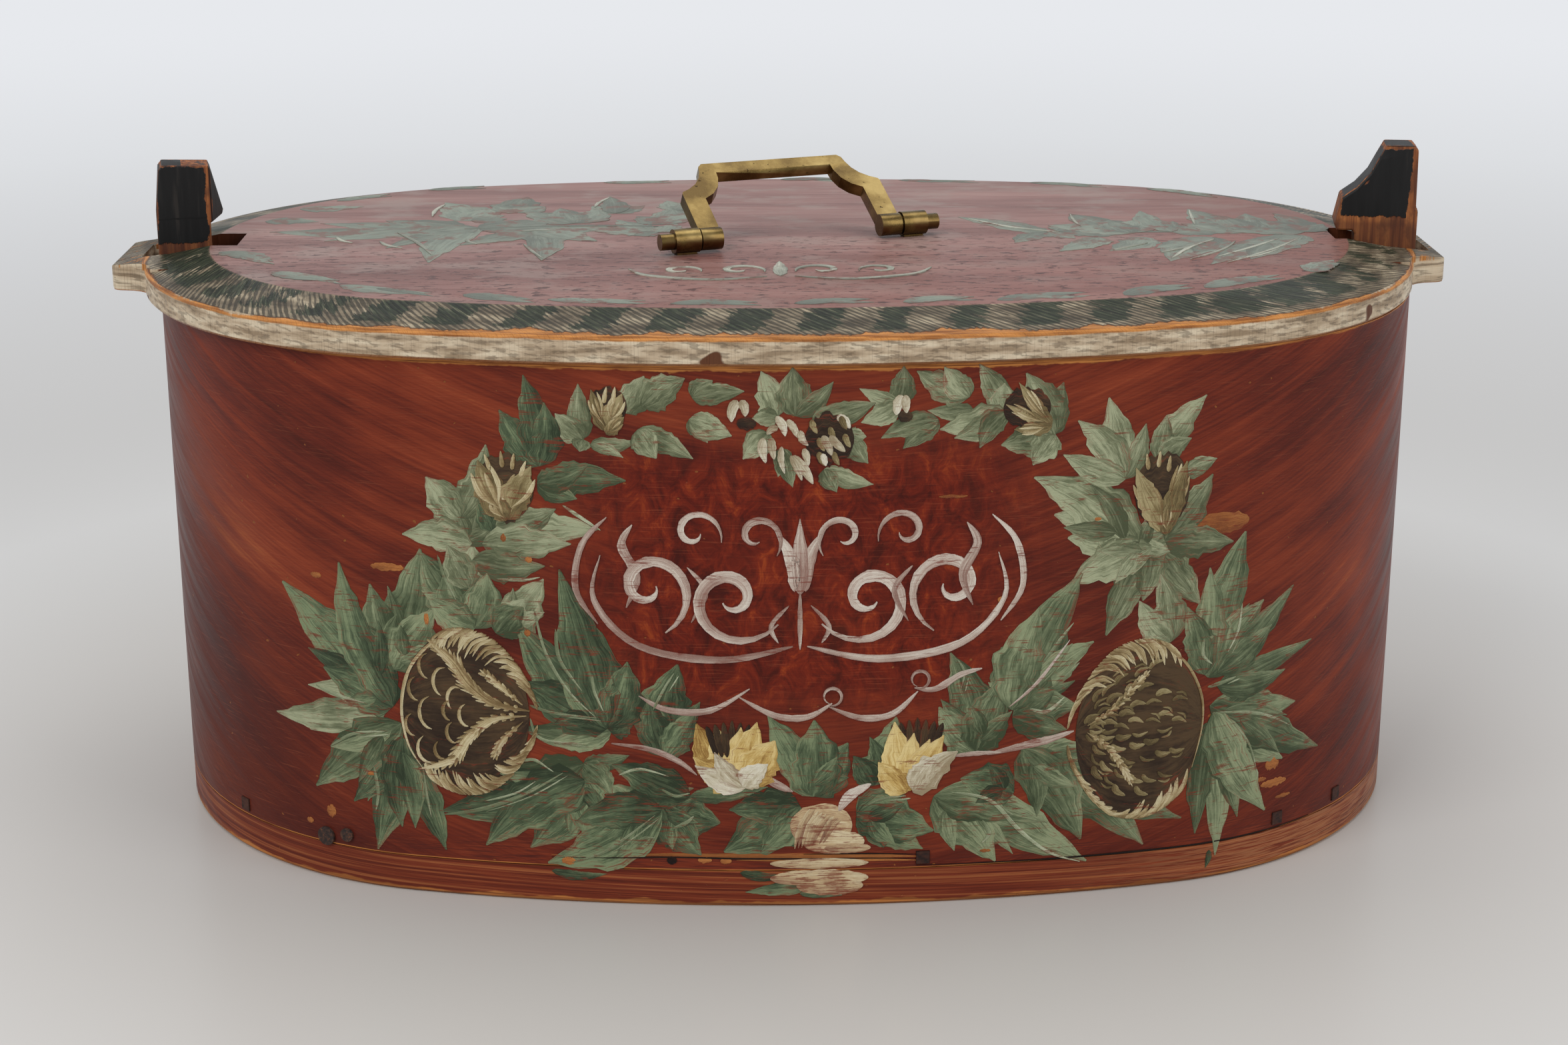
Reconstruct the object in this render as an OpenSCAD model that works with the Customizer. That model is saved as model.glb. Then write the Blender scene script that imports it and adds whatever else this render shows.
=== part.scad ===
// Oval bentwood box. A laced side stands on a rebated bottom board, and a lid with an ear
// at each end is held between two springy hooked posts. X is the length, and -Y the front.

/* [Side] */
// Length of the bent side, outside
body_l = 380; // [330:1:430]
// Width of the bent side, outside
body_w = 230; // [200:1:260]
// How much smaller the end radius is than half the width
end_ease = 10; // [6:0.5:18]
// Height of the rim above the table
rim_h = 159; // [130:1:200]
// Thickness of the bent side
wall = 4.5; // [3.5:0.1:6]

/* [Lap seam] */
// Length of the overlap at the back
lap_l = 70; // [60:1:100]
// Thickness that the outer end of the side adds
lap_t = 2; // [1.2:0.1:2.4]
// Thickness left at the pared outer end
lap_edge_t = 0.8; // [0.5:0.1:1.1]
// Length over which the overlap rises out of the side
lap_run = 24; // [12:1:40]
// Distance between the two rows of stitches
row_gap = 40; // [26:1:46]
// Slots in each row of stitches
slot_count = 10; // [4:2:14]
// Width of the root lace
lace_w = 3.2; // [2:0.1:5]
// Thickness of the root lace
lace_t = 1.4; // [0.8:0.1:2]
// Room between the lace and the wood
lace_clearance = 0.12; // [0.08:0.01:0.25]
// Wood left above the top slot and below the lowest one
row_margin = 7; // [5:0.5:12]

/* [Bottom board] */
// Thickness of the board's edge under the side
lip_t = 11; // [7:0.5:14]
// Height of the board's rebated middle inside the side
rebate_h = 11; // [9:0.5:16]
// Rounding of the board's lower edge
lip_edge = 0.9; // [0.4:0.1:2]
// Room round the board inside the side
board_clearance = 0.3; // [0.15:0.05:0.5]
// Height of the pegs above the board's edge
peg_rise = 3.4; // [3:0.1:4.5]
// Side of each square peg
peg_size = 3.8; // [2.5:0.1:4.5]
// Depth of a peg in the board
peg_depth = 12; // [8:1:20]
// Height by which a peg stands out of the side
peg_proud = 0.4; // [0.2:0.1:1]
// Room round a peg
peg_clearance = 0.1; // [0.05:0.01:0.2]
// Radius of the larger nail's head
nail_head_r = 2.8; // [2:0.1:3.2]
// Radius of a nail's shank
nail_r = 0.9; // [0.6:0.1:1.2]
// Length of a nail
nail_depth = 16; // [10:1:20]
// Thickness of a nail's head
nail_head_t = 0.8; // [0.5:0.1:1.2]
// Distance between the two nails
nail_step = 6.4; // [5.6:0.1:12]
// Distance from the end of the side to the larger nail
nail_to_end = 54; // [52:1:60]
// Distance from the end of the side to the pegs beside it
peg_to_end = 48; // [42:1:50]
// Distance from the middle to the other front peg
front_peg_x = 36; // [24:1:60]
// Distance from the middle to the other back pegs
back_peg_x = 56; // [44:1:70]

/* [Lid] */
// Distance that the lid reaches past the side
lid_over = 2.5; // [1.5:0.1:4]
// Height of the lid's upright edge
lid_edge_t = 8; // [6:0.1:11]
// Height of the raised field above the edge
bevel_rise = 3.7; // [2:0.1:5]
// Width of the bevel round the field
bevel_w = 19.5; // [12:0.5:26]
// Rounding of the lid's edges
lid_edge = 0.8; // [0.4:0.1:1.5]
// Distance that the lid lies towards the left
lid_shift = 2; // [0:0.1:3]
// Room between the rim and the lid
lid_clearance = 0.3; // [0.2:0.05:0.5]

/* [Ears] */
// Reach of the left ear past the lid's oval
ear_reach_left = 9; // [7:0.5:14]
// Reach of the right ear past the lid's oval
ear_reach_right = 9; // [7:0.5:14]
// Thickness of an ear at its tip
ear_tip_t = 7.5; // [5:0.1:7.9]
// Half length of an ear's straight tip
ear_flat = 14; // [13:0.5:17]
// Radius of an ear's corners
ear_corner = 4; // [2:0.5:6]
// Half width of an ear where it leaves the oval
ear_root = 31; // [26:0.5:38]

/* [Posts] */
// Distance from the end of the side to the middle of a post
post_inset = 6; // [5:0.5:8]
// Thickness of a post along the front
post_t = 11.5; // [9:0.5:12]
// Width of the left post
left_w = 16; // [14:0.5:18]
// Width of the right post
right_w = 18.6; // [16:0.2:19]
// Height of the left head above the lid
left_head_h = 24; // [18:0.5:34]
// Height of the right head above the lid
right_head_h = 28; // [22:0.5:38]
// Reach of the left hook past its post
left_hook = 4.3; // [2:0.1:5]
// Reach of the right hook past its post
right_hook = 6.2; // [4:0.1:7]
// Room between the lid and the left hook
left_hook_gap = 6.6; // [2:0.1:8]
// Room between the lid and the right hook
right_hook_gap = 1.6; // [1.2:0.1:3]
// Turn of the left post about its own axis, in degrees
left_turn = 12; // [0:1:14]
// Turn of the right post about its own axis, in degrees
right_turn = 8; // [0:1:10]
// Room between a post's foot and the bottom board
foot_clearance = 0.4; // [0.3:0.05:0.6]
// Height of a post's tight foot
foot_h = 18; // [14:1:26]
// Room between a post's foot and the side
foot_side_clearance = 0.45; // [0.4:0.05:0.6]
// Room for a post to lean outwards, above its foot
lean_room = 2.3; // [1.9:0.1:3]
// Room between the rim and the shoulder of a post
shoulder_clearance = 0.45; // [0.35:0.05:1]
// Radius of the peg that holds a post's foot
foot_peg_r = 3; // [2:0.1:4]

/* [Slots] */
// Room on each side of the left post and its hook
slot_side_left = 0.9; // [0.5:0.1:2]
// Room on each side of the right post and its hook
slot_side_right = 0.6; // [0.5:0.1:2]
// Room beyond the right hook's tip
hook_clearance = 0.6; // [0.4:0.05:0.8]
// Room beyond the left hook's tip
slot_room_left = 4.2; // [0.4:0.1:5]
// Room beyond a post that leans outwards
slot_outer_clearance = 0.6; // [0.3:0.05:0.8]
// Angle that a post leans outwards, in degrees
lean_out = 0.8; // [0.4:0.1:0.8]

/* [Handle] */
// Distance of the handle's middle to the right
handle_x = 3.9; // [-10:0.1:10]
// Distance of the handle's middle to the front
handle_y = 12.4; // [0:0.1:20]
// Turn of the handle on the lid, in degrees
handle_turn = 20.3; // [0:0.1:30]
// Angle that the bail leans back from upright, in degrees
handle_lean = 59.5; // [0:0.5:88]
// Height of the grip above the pins
bail_h = 29.4; // [24:0.1:36]
// Half length of the grip
grip_half = 23.6; // [21:0.1:26]
// Thickness of the grip
grip_t = 4.3; // [3.5:0.1:5]
// Height of the knees above the pins
knee_h = 19; // [16:0.5:20]
// Half width across the outside of the legs
leg_half = 32.4; // [31:0.1:36]
// Width of a leg
leg_w = 6.6; // [5:0.1:7.5]
// Thickness of the bail
bail_t = 4; // [3:0.1:5]
// Radius of the bail's pins
pin_r = 2.45; // [1.8:0.05:2.8]
// Distance that a pin shows past its eye
pin_proud = 4.2; // [2:0.1:6]
// Running clearance of a pin in its eye
pin_clearance = 0.06; // [0.03:0.01:0.09]
// Wall of an eye's barrel
barrel_wall = 1.15; // [0.9:0.05:1.6]
// Length of an eye's barrel
barrel_l = 7.9; // [6:0.1:10]
// Room between a leg and its eye
eye_side_clearance = 0.5; // [0.3:0.1:0.8]
// Room between the lid and an eye's barrel
eye_clearance = 0.3; // [0.2:0.05:0.4]
// Thickness of an eye's shank
shank_t = 2.6; // [2:0.1:3.4]
// Length of the clenched end under the lid
clench_l = 9; // [6:0.5:14]

/* [Hidden] */
$fn = 240;

// Four tangent arcs make the oval. Each offset of it keeps their centres.
half_l = body_l / 2;
half_w = body_w / 2;
end_r = half_w - end_ease;
end_x = half_l - end_r;
side_r = (half_l * half_l + half_w * half_w - 2 * half_l * end_r) / (2 * end_ease);
side_y = side_r - half_w;
end_a = atan2(side_y, end_x);
tangent_x = end_x + end_r * cos(end_a);

// Heights
seat_gap = 0.3;
band_z = lip_t + seat_gap;
step_z = lip_t + rebate_h;
lid_z = rim_h + lid_clearance;
lid_top_t = lid_edge_t + bevel_rise;
lid_top_z = lid_z + lid_top_t;
peg_z = lip_t + peg_rise;
foot_z = step_z + foot_clearance;
pivot_z = foot_z + foot_h / 2;

// The pegs along the front and back by their distance from the middle, and on the ends
// by their angle from the long axis
far_peg_x = half_l - peg_to_end;
front_pegs = [front_peg_x, far_peg_x];
back_pegs = [-far_peg_x, -back_peg_x, back_peg_x, far_peg_x];
end_pegs = [-42, 42];
// Each nail: its distance from the middle, its height above the pegs, its head's scale
nail_x = nail_to_end - half_l;
nails = [[nail_x, -1, 1], [nail_x + nail_step, 0.6, 0.72]];
nail_clearance = 0.08;

post_x = half_l - post_inset;
left_half = left_w / 2;
right_half = right_w / 2;
shoulder_z = rim_h + shoulder_clearance;
foot_peg_clearance = 0.4;
band_peg_clearance = 0.1;
foot_peg_proud = 0.6;
lean_travel = (lid_top_z - pivot_z) * tan(lean_out);
core = 0.1;

barrel_r = pin_r + pin_clearance + barrel_wall;
handle_z = lid_top_z + eye_clearance + barrel_r;
barrel_x = leg_half + eye_side_clearance;
shank_w = barrel_l - 1.6;
shank_clearance = 0.15;
clench_t = 1.3;
clench_gap = 0.2;

// Carries a profile right round the oval. Its points are the distance out from the side's
// outer face, and the height. Each quarter starts both its arcs where they meet, and is cut
// off square on the long and short axes.
module round_oval(profile) {
    past = 1;
    for (mx = [0, 1], my = [0, 1])
        mirror([mx, 0, 0]) mirror([0, my, 0]) intersection() {
            translate([end_x, 0, 0]) rotate([0, 0, end_a]) {
                mirror([0, 1, 0]) rotate_extrude(angle = end_a + past)
                    polygon([for (p = profile) [end_r + p[0], p[1]]]);
                translate([end_r - side_r, 0, 0]) rotate_extrude(angle = 90 - end_a + past)
                    polygon([for (p = profile) [side_r + p[0], p[1]]]);
            }
            translate([0, 0, -rim_h]) cube([body_l, body_w, 3 * rim_h]);
        }
}

// Points of a closed oval, for the plain middle of a board
function arc_points(cx, cy, r, from, to, steps) =
    [for (i = [0:steps - 1]) let (a = from + (to - from) * i / steps)
        [cx + r * cos(a), cy + r * sin(a)]];
function oval_points(out, steps) = concat(
    arc_points(end_x, 0, end_r + out, -end_a, end_a, steps),
    arc_points(0, -side_y, side_r + out, end_a, 180 - end_a, steps),
    arc_points(-end_x, 0, end_r + out, 180 - end_a, 180 + end_a, steps),
    arc_points(0, side_y, side_r + out, 180 + end_a, 360 - end_a, steps));

// A solid board: its edge has the profile's outer points, and its middle lies flat
rim_band = 40;
module oval_board(edge, z0, z1) {
    round_oval(concat([[-rim_band, z0]], edge, [[-rim_band, z1]]));
    translate([0, 0, z0]) linear_extrude(z1 - z0)
        polygon(oval_points(10 - rim_band, 10));
}

// Puts a thing on the side's outer face, with its own X pointing out of the side
module on_back(x) {
    if (abs(x) <= tangent_x)
        translate([0, -side_y, 0]) rotate([0, 0, 90 - asin(x / side_r)]) translate([side_r, 0, 0])
            children();
    else
        mirror([x < 0 ? 1 : 0, 0, 0]) translate([end_x, 0, 0])
            rotate([0, 0, acos((abs(x) - end_x) / end_r)]) translate([end_r, 0, 0]) children();
}
module on_front(x) { mirror([0, 1, 0]) on_back(x) children(); }
module on_end(s, a) {
    rotate([0, 0, 180 * s]) translate([end_x, 0, 0]) rotate([0, 0, a]) translate([end_r, 0, 0])
        children();
}
module at_left_post() { translate([-post_x, 0, 0]) rotate([0, 0, 180 + left_turn]) children(); }
module at_right_post() { translate([post_x, 0, 0]) rotate([0, 0, -right_turn]) children(); }
module at_handle() { translate([handle_x, -handle_y, handle_z]) rotate([0, 0, handle_turn]) children(); }

// Square bar along X from x0 to x1, centred on the other two axes
module bar(x0, x1, w, h) { translate([x0, -w / 2, -h / 2]) cube([x1 - x0, w, h]); }
module rod(x0, x1, r) { translate([x0, 0, 0]) rotate([0, 90, 0]) cylinder(h = x1 - x0, r = r); }

module at_pegs() {
    translate([0, 0, peg_z]) {
        for (x = front_pegs) on_front(x) children();
        for (x = back_pegs) on_back(x) children();
        for (s = [0, 1], a = end_pegs) on_end(s, a) children();
    }
}

// The overlap of the side at the back, thinned to its pared end and eased at rim and foot
lap_ease = 0.4;
function lap_rise(d) = d < -lap_l / 2
    ? 0.3 + (lap_t - 0.3) * (d + lap_l / 2 + lap_run) / lap_run
    : min(lap_t, lap_edge_t + (lap_t - lap_edge_t) * (lap_l / 2 - d) / 8);
module lap() {
    steps = 32;
    from = -lap_l / 2 - lap_run;
    place = [for (i = [0:steps]) from + (lap_l / 2 - from) * i / steps];
    outer = [for (d = place) let (a = 90 - asin(d / side_r), r = side_r + lap_rise(d))
        [r * cos(a), r * sin(a) - side_y]];
    inner = [for (i = [0:steps]) let (a = 90 - asin(place[steps - i] / side_r), r = side_r - wall / 2)
        [r * cos(a), r * sin(a) - side_y]];
    translate([0, 0, band_z + lap_ease]) linear_extrude(rim_h - band_z - 2 * lap_ease)
        polygon(concat(outer, inner));
}

lace_z0 = step_z + row_margin;
lace_pitch = (rim_h - row_margin - lace_t - lace_z0) / (slot_count - 1);
function slot_z(i) = lace_z0 + i * lace_pitch;
module lace_slots() {
    for (row = [-1, 1], i = [0:slot_count - 1])
        on_back(row * row_gap / 2) translate([0, 0, slot_z(i) + lace_t / 2])
            bar(-wall - 1, lap_t + 1, lace_w + 2 * lace_clearance, lace_t + 2 * lace_clearance);
}

// A running stitch: out through one slot, up, and in through the next
module lace_row(x) {
    inside = -wall - lace_clearance - lace_t;
    outside = lap_t + lace_clearance;
    on_back(x) {
        for (i = [0:slot_count - 1])
            translate([0, 0, slot_z(i) + lace_t / 2]) bar(inside, outside + lace_t, lace_w, lace_t);
        for (i = [0:slot_count - 2])
            translate([i % 2 == 0 ? outside : inside, -lace_w / 2, slot_z(i)])
                cube([lace_t, lace_w, lace_pitch + lace_t]);
    }
}

module side_band() {
    color("#6e3427") difference() {
        union() {
            round_oval([[-wall, band_z], [0, band_z], [0, rim_h], [-wall, rim_h]]);
            lap();
        }
        lace_slots();
        at_pegs() bar(-wall - 1, 1, peg_size + 2 * peg_clearance, peg_size + 2 * peg_clearance);
        for (n = nails) on_front(n[0]) translate([0, 0, peg_z + n[1]])
            rod(-wall - 1, 1, nail_r + nail_clearance);
        at_left_post() translate([0, 0, pivot_z]) rod(0, post_inset + 4, foot_peg_r + band_peg_clearance);
        at_right_post() translate([0, 0, pivot_z]) rod(0, post_inset + 4, foot_peg_r + band_peg_clearance);
    }
}
module seam_lacing_left() { color("#b98a55") lace_row(-row_gap / 2); }
module seam_lacing_right() { color("#b98a55") lace_row(row_gap / 2); }

module bottom_board() {
    inset = -wall - board_clearance;
    color("#9a6a45") difference() {
        union() {
            oval_board([[-lip_edge, 0], [0, lip_edge], [0, lip_t]], 0, lip_t);
            oval_board([[inset, lip_t - 1], [inset, step_z - 1], [inset - 1, step_z]], lip_t - 1, step_z);
        }
        at_pegs() bar(-wall - peg_depth - 1, 0, peg_size + 2 * peg_clearance, peg_size + 2 * peg_clearance);
        for (n = nails) on_front(n[0]) translate([0, 0, peg_z + n[1]])
            rod(-nail_depth - 1, 0, nail_r + nail_clearance);
    }
}
module bottom_pegs() {
    color("#7d4a30") at_pegs() bar(-wall - peg_depth, peg_proud, peg_size, peg_size);
}
module bottom_nails() {
    color("#2d2826") for (n = nails) on_front(n[0]) translate([0, 0, peg_z + n[1]]) {
        rod(-nail_depth, 0.5, nail_r);
        rod(nail_clearance, nail_clearance + nail_head_t, nail_head_r * n[2]);
    }
}

// A post below its shoulder follows the curve of the side: close at the foot, free above it
module inside_curve(room, z0, z1) {
    translate([0, 0, z0]) linear_extrude(z1 - z0) for (s = [-1, 1])
        translate([s * end_x, 0]) circle(r = end_r - wall - room);
}
module post_in_side() {
    intersection() {
        children(0);
        union() {
            inside_curve(foot_side_clearance, foot_z - 1, foot_z + foot_h);
            inside_curve(lean_room, foot_z, shoulder_z);
        }
    }
    children(1);
}
module slab(outline) { rotate([90, 0, 0]) translate([0, 0, -post_t / 2]) linear_extrude(post_t) polygon(outline); }
module lower_post(half) {
    slab([[-half, foot_z], [half, foot_z], [half, shoulder_z], [-half, shoulder_z]]);
}

module left_head() {
    z = lid_top_z;
    top = z + left_head_h;
    nose = z + left_hook_gap;
    h = left_half;
    intersection() {
        slab([[-h, shoulder_z - core], [h, shoulder_z - core], [h, nose + 2], [h - 1.4, top - 1.5],
            [h - 2.6, top], [-h - 0.2, top - 0.6], [-h - 0.8, top - 2], [-h - left_hook, nose + 1.4],
            [-h - left_hook + 0.6, nose], [-h, nose - 0.6]]);
        translate([0, 0, shoulder_z - 1]) linear_extrude(top - shoulder_z + 2)
            polygon([[h + 1, -post_t], [h + 1, post_t], [-h - 0.5, post_t], [-h - 0.5, post_t / 2],
                [-h - left_hook, -post_t / 2], [-h - left_hook, -post_t]]);
    }
}

module right_head() {
    z = lid_top_z;
    top = z + right_head_h;
    hook = z + right_hook_gap;
    h = right_half;
    tip = -h - right_hook;
    slab([[-h, shoulder_z - core], [h, shoulder_z - core], [h, hook + 6.8], [h - 0.6, hook + 7.4],
        [h - 0.9, top - 1.4], [h - 2.1, top], [-1.2, top], [-3.4, top - 4.2], [-5.6, top - 8.6],
        [-9.3, top - 12.9], [tip + 1.7, top - 16.2], [tip, hook + 2.2], [tip + 0.7, hook],
        [-h - 0.7, hook], [-h, hook - 1]]);
}

module post_left() {
    color("#3a2a20") difference() {
        post_in_side() {
            at_left_post() lower_post(left_half);
            at_left_post() left_head();
        }
        at_left_post() translate([0, 0, pivot_z]) rod(-left_half - 1, left_half + 1, foot_peg_r + foot_peg_clearance);
    }
}
module post_right() {
    color("#3a2a20") difference() {
        post_in_side() {
            at_right_post() lower_post(right_half);
            at_right_post() right_head();
        }
        at_right_post() translate([0, 0, pivot_z]) rod(-right_half - 1, right_half + 1, foot_peg_r + foot_peg_clearance);
    }
}
module post_peg_left() {
    color("#8a5a3a") at_left_post() translate([0, 0, pivot_z])
        rod(-left_half + 1, post_inset + foot_peg_proud, foot_peg_r);
}
module post_peg_right() {
    color("#8a5a3a") at_right_post() translate([0, 0, pivot_z])
        rod(-right_half + 1, post_inset + foot_peg_proud, foot_peg_r);
}

// Half of an ear's outline: a hollow flank, then a round corner
lid_end = half_l + lid_over;
function ear_half(reach) = let (
        tip = lid_end + reach,
        side = ear_flat + ear_corner,
        root_x = end_x + sqrt(pow(end_r + lid_over, 2) - ear_root * ear_root) - 1,
        run = tip - ear_corner - root_x)
    concat([[end_x + end_r / 2, 0], [end_x + end_r / 2, ear_root], [root_x, ear_root]],
        [for (a = [15:15:75]) [tip - ear_corner - run * cos(a), ear_root - (ear_root - side) * sin(a)]],
        [for (a = [90:-18:0]) [tip - ear_corner + ear_corner * cos(a), ear_flat + ear_corner * sin(a)]],
        [[tip, 0]]);
module ear(reach) {
    slope = bevel_rise / bevel_w;
    top_in = lid_edge_t + 6 * slope;
    intersection() {
        linear_extrude(lid_top_t) {
            polygon(ear_half(reach));
            mirror([0, 1]) polygon(ear_half(reach));
        }
        rotate([90, 0, 0]) translate([0, 0, -ear_root - 1]) linear_extrude(2 * ear_root + 2)
            polygon([[end_x, 0], [lid_end + reach - lid_edge, 0], [lid_end + reach, lid_edge],
                [lid_end + reach, ear_tip_t - lid_edge], [lid_end + reach - lid_edge, ear_tip_t],
                [lid_end - 6, top_in], [end_x, top_in]]);
    }
}

// How far a turned post reaches along and across the lid, where it is half as wide as this
function reach_x(half, turn) = half * cos(turn) + post_t / 2 * sin(turn);
function reach_y(half, turn) = half * sin(turn) + post_t / 2 * cos(turn);
module slot_left() {
    hook_half = left_half + left_hook;
    outer = reach_x(left_half, left_turn) + lean_travel + slot_outer_clearance;
    translate([-post_x, 0, lid_z + lid_top_t / 2])
        bar(-outer, reach_x(hook_half, left_turn) + slot_room_left,
            2 * (reach_y(hook_half, left_turn) + slot_side_left), 2 * lid_top_t);
}
module slot_right() {
    hook_half = right_half + right_hook;
    outer = reach_x(right_half, right_turn) + lean_travel + slot_outer_clearance;
    translate([post_x, 0, lid_z + lid_top_t / 2])
        bar(-reach_x(hook_half, right_turn) - hook_clearance, outer,
            2 * (reach_y(hook_half, right_turn) + slot_side_right), 2 * lid_top_t);
}

module at_shanks() {
    for (s = [-1, 1]) at_handle() translate([s * (barrel_x + barrel_l / 2), 0, 0]) children();
}
module lid_board() {
    color("#7a3b33") difference() {
        translate([-lid_shift, 0, lid_z]) {
            oval_board([[lid_over - lid_edge, 0], [lid_over, lid_edge], [lid_over, lid_edge_t - lid_edge],
                [lid_over - lid_edge, lid_edge_t], [lid_over - bevel_w, lid_top_t]], 0, lid_top_t);
            mirror([1, 0, 0]) ear(ear_reach_left);
            ear(ear_reach_right);
        }
        slot_left();
        slot_right();
        at_shanks() translate([0, 0, -lid_top_t]) cube([shank_w + 2 * shank_clearance,
            shank_t + 2 * shank_clearance, 4 * lid_top_t], center = true);
    }
}

// An eye: a barrel on a flat shank, which goes through the lid and is clenched under it
module handle_eye(s) {
    bottom = lid_z - handle_z - clench_gap;
    translate([s * (barrel_x + barrel_l / 2), 0, 0]) difference() {
        union() {
            rod(-barrel_l / 2, barrel_l / 2, barrel_r);
            translate([-shank_w / 2, -shank_t / 2, bottom - clench_t])
                cube([shank_w, shank_t, -bottom + clench_t - barrel_r / 2]);
            translate([-shank_w / 2, -shank_t / 2, bottom - clench_t]) cube([shank_w, clench_l, clench_t]);
        }
        rod(-barrel_l, barrel_l, pin_r + pin_clearance);
    }
}
module handle_eye_left() { color("#a8803c") at_handle() handle_eye(-1); }
module handle_eye_right() { color("#a8803c") at_handle() handle_eye(1); }

// One half of the bail's outline, out along the grip, down the hollow shoulder and the leg
function bail_half() = let (
        top = bail_h + grip_t / 2,
        under = bail_h - grip_t / 2,
        inner = leg_half - leg_w)
    [[0, under], [0, top], [grip_half - 1.2, top], [grip_half, top - 1.2], [grip_half + 0.5, top - 3.4],
        [grip_half + 1.6, top - 6.4], [grip_half + 3.4, knee_h + 3.6], [grip_half + 6, knee_h + 1.6],
        [leg_half - 0.4, knee_h + 0.4], [leg_half, knee_h - 0.4], [leg_half, 0], [inner, 0],
        [inner, knee_h - 3.2], [inner - 3.2, knee_h - 1.2], [inner - 5.6, knee_h + 1.9],
        [inner - 6.8, knee_h + 5.6], [inner - 7, under]];

module bail_handle() {
    color("#b58a3a") at_handle() rotate([-handle_lean, 0, 0]) for (s = [0, 1]) mirror([s, 0, 0]) {
        rotate([90, 0, 0]) translate([0, 0, -bail_t / 2]) linear_extrude(bail_t) polygon(bail_half());
        rod(leg_half - leg_w, leg_half, pin_r + 0.9);
        rod(leg_half - 1, barrel_x + barrel_l + pin_proud, pin_r);
    }
}

side_band();
seam_lacing_left();
seam_lacing_right();
bottom_board();
bottom_pegs();
bottom_nails();
post_left();
post_right();
post_peg_left();
post_peg_right();
lid_board();
handle_eye_left();
handle_eye_right();
bail_handle();
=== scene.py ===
import math
import random

import bmesh
import bpy
from mathutils import Matrix, Vector


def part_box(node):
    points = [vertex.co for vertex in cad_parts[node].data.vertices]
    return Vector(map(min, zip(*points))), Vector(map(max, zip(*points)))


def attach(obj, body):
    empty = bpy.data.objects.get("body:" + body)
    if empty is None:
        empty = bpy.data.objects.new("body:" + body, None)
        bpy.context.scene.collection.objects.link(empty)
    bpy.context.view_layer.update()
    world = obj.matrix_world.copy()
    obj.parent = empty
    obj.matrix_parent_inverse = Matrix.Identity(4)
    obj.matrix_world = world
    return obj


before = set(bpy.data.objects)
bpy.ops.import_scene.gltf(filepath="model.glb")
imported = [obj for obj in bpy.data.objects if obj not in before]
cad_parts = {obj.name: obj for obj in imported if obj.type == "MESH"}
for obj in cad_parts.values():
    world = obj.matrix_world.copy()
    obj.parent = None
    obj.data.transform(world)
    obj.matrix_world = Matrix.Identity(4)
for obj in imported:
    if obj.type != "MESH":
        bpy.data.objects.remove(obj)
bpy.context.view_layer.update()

MM = 0.001
rng = random.Random(7)

# The camera, fitted to the photograph
IMAGE_W = 2352
FOCAL_PX = 4100
SENSOR_W = 36.0
CAMERA_TARGET = Vector((-1.0, 0.0, 78.9)) * MM
CAMERA_AWAY = 866.5 * MM
CAMERA_PITCH = 0.3039
CAMERA_YAW = 0.0207
CAMERA_ROLL = 0.0016

# The side's oval, from model.glb: four tangent arcs
band_lo, band_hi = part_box("side_band")
END_EASE = 10 * MM
HALF_L = band_hi.x
HALF_W = -band_lo.y
RIM_Z = band_hi.z
BAND_Z = band_lo.z
END_R = HALF_W - END_EASE
END_X = HALF_L - END_R
SIDE_R = (HALF_L ** 2 + HALF_W ** 2 - 2 * HALF_L * END_R) / (2 * END_EASE)
SIDE_Y = SIDE_R - HALF_W
END_A = math.atan2(SIDE_Y, END_X)
TANGENT_S = SIDE_R * (math.pi / 2 - END_A)
HALF_ROUND = 2 * (TANGENT_S + END_R * END_A)
LAP_X = 35 * MM
WALL = 4.5 * MM

# The lid, from model.glb, and the posts
lid_lo, lid_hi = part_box("lid_board")
LID_X = (lid_lo.x + lid_hi.x) / 2
LID_OVER = -lid_lo.y - HALF_W
LID_TOP = lid_hi.z
BEVEL_RISE = 3.7 * MM
BEVEL_W = 19.5 * MM
EDGE_TOP = LID_TOP - BEVEL_RISE
POST_X = HALF_L - 6 * MM
POST_T = 11.5 * MM
LEFT_TURN = math.radians(192)
RIGHT_TURN = math.radians(-8)


def srgb(red, green, blue):
    """A colour given as it shows on a screen, 0 to 255, for a shader."""
    def linear(c):
        c /= 255
        return c / 12.92 if c <= 0.04045 else ((c + 0.055) / 1.055) ** 2.4
    return linear(red), linear(green), linear(blue), 1.0


BARE = srgb(196, 128, 66)
BARE_DARK = srgb(128, 74, 38)
UNDERCOAT = srgb(118, 44, 28)
GAP = srgb(26, 14, 10)


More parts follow.
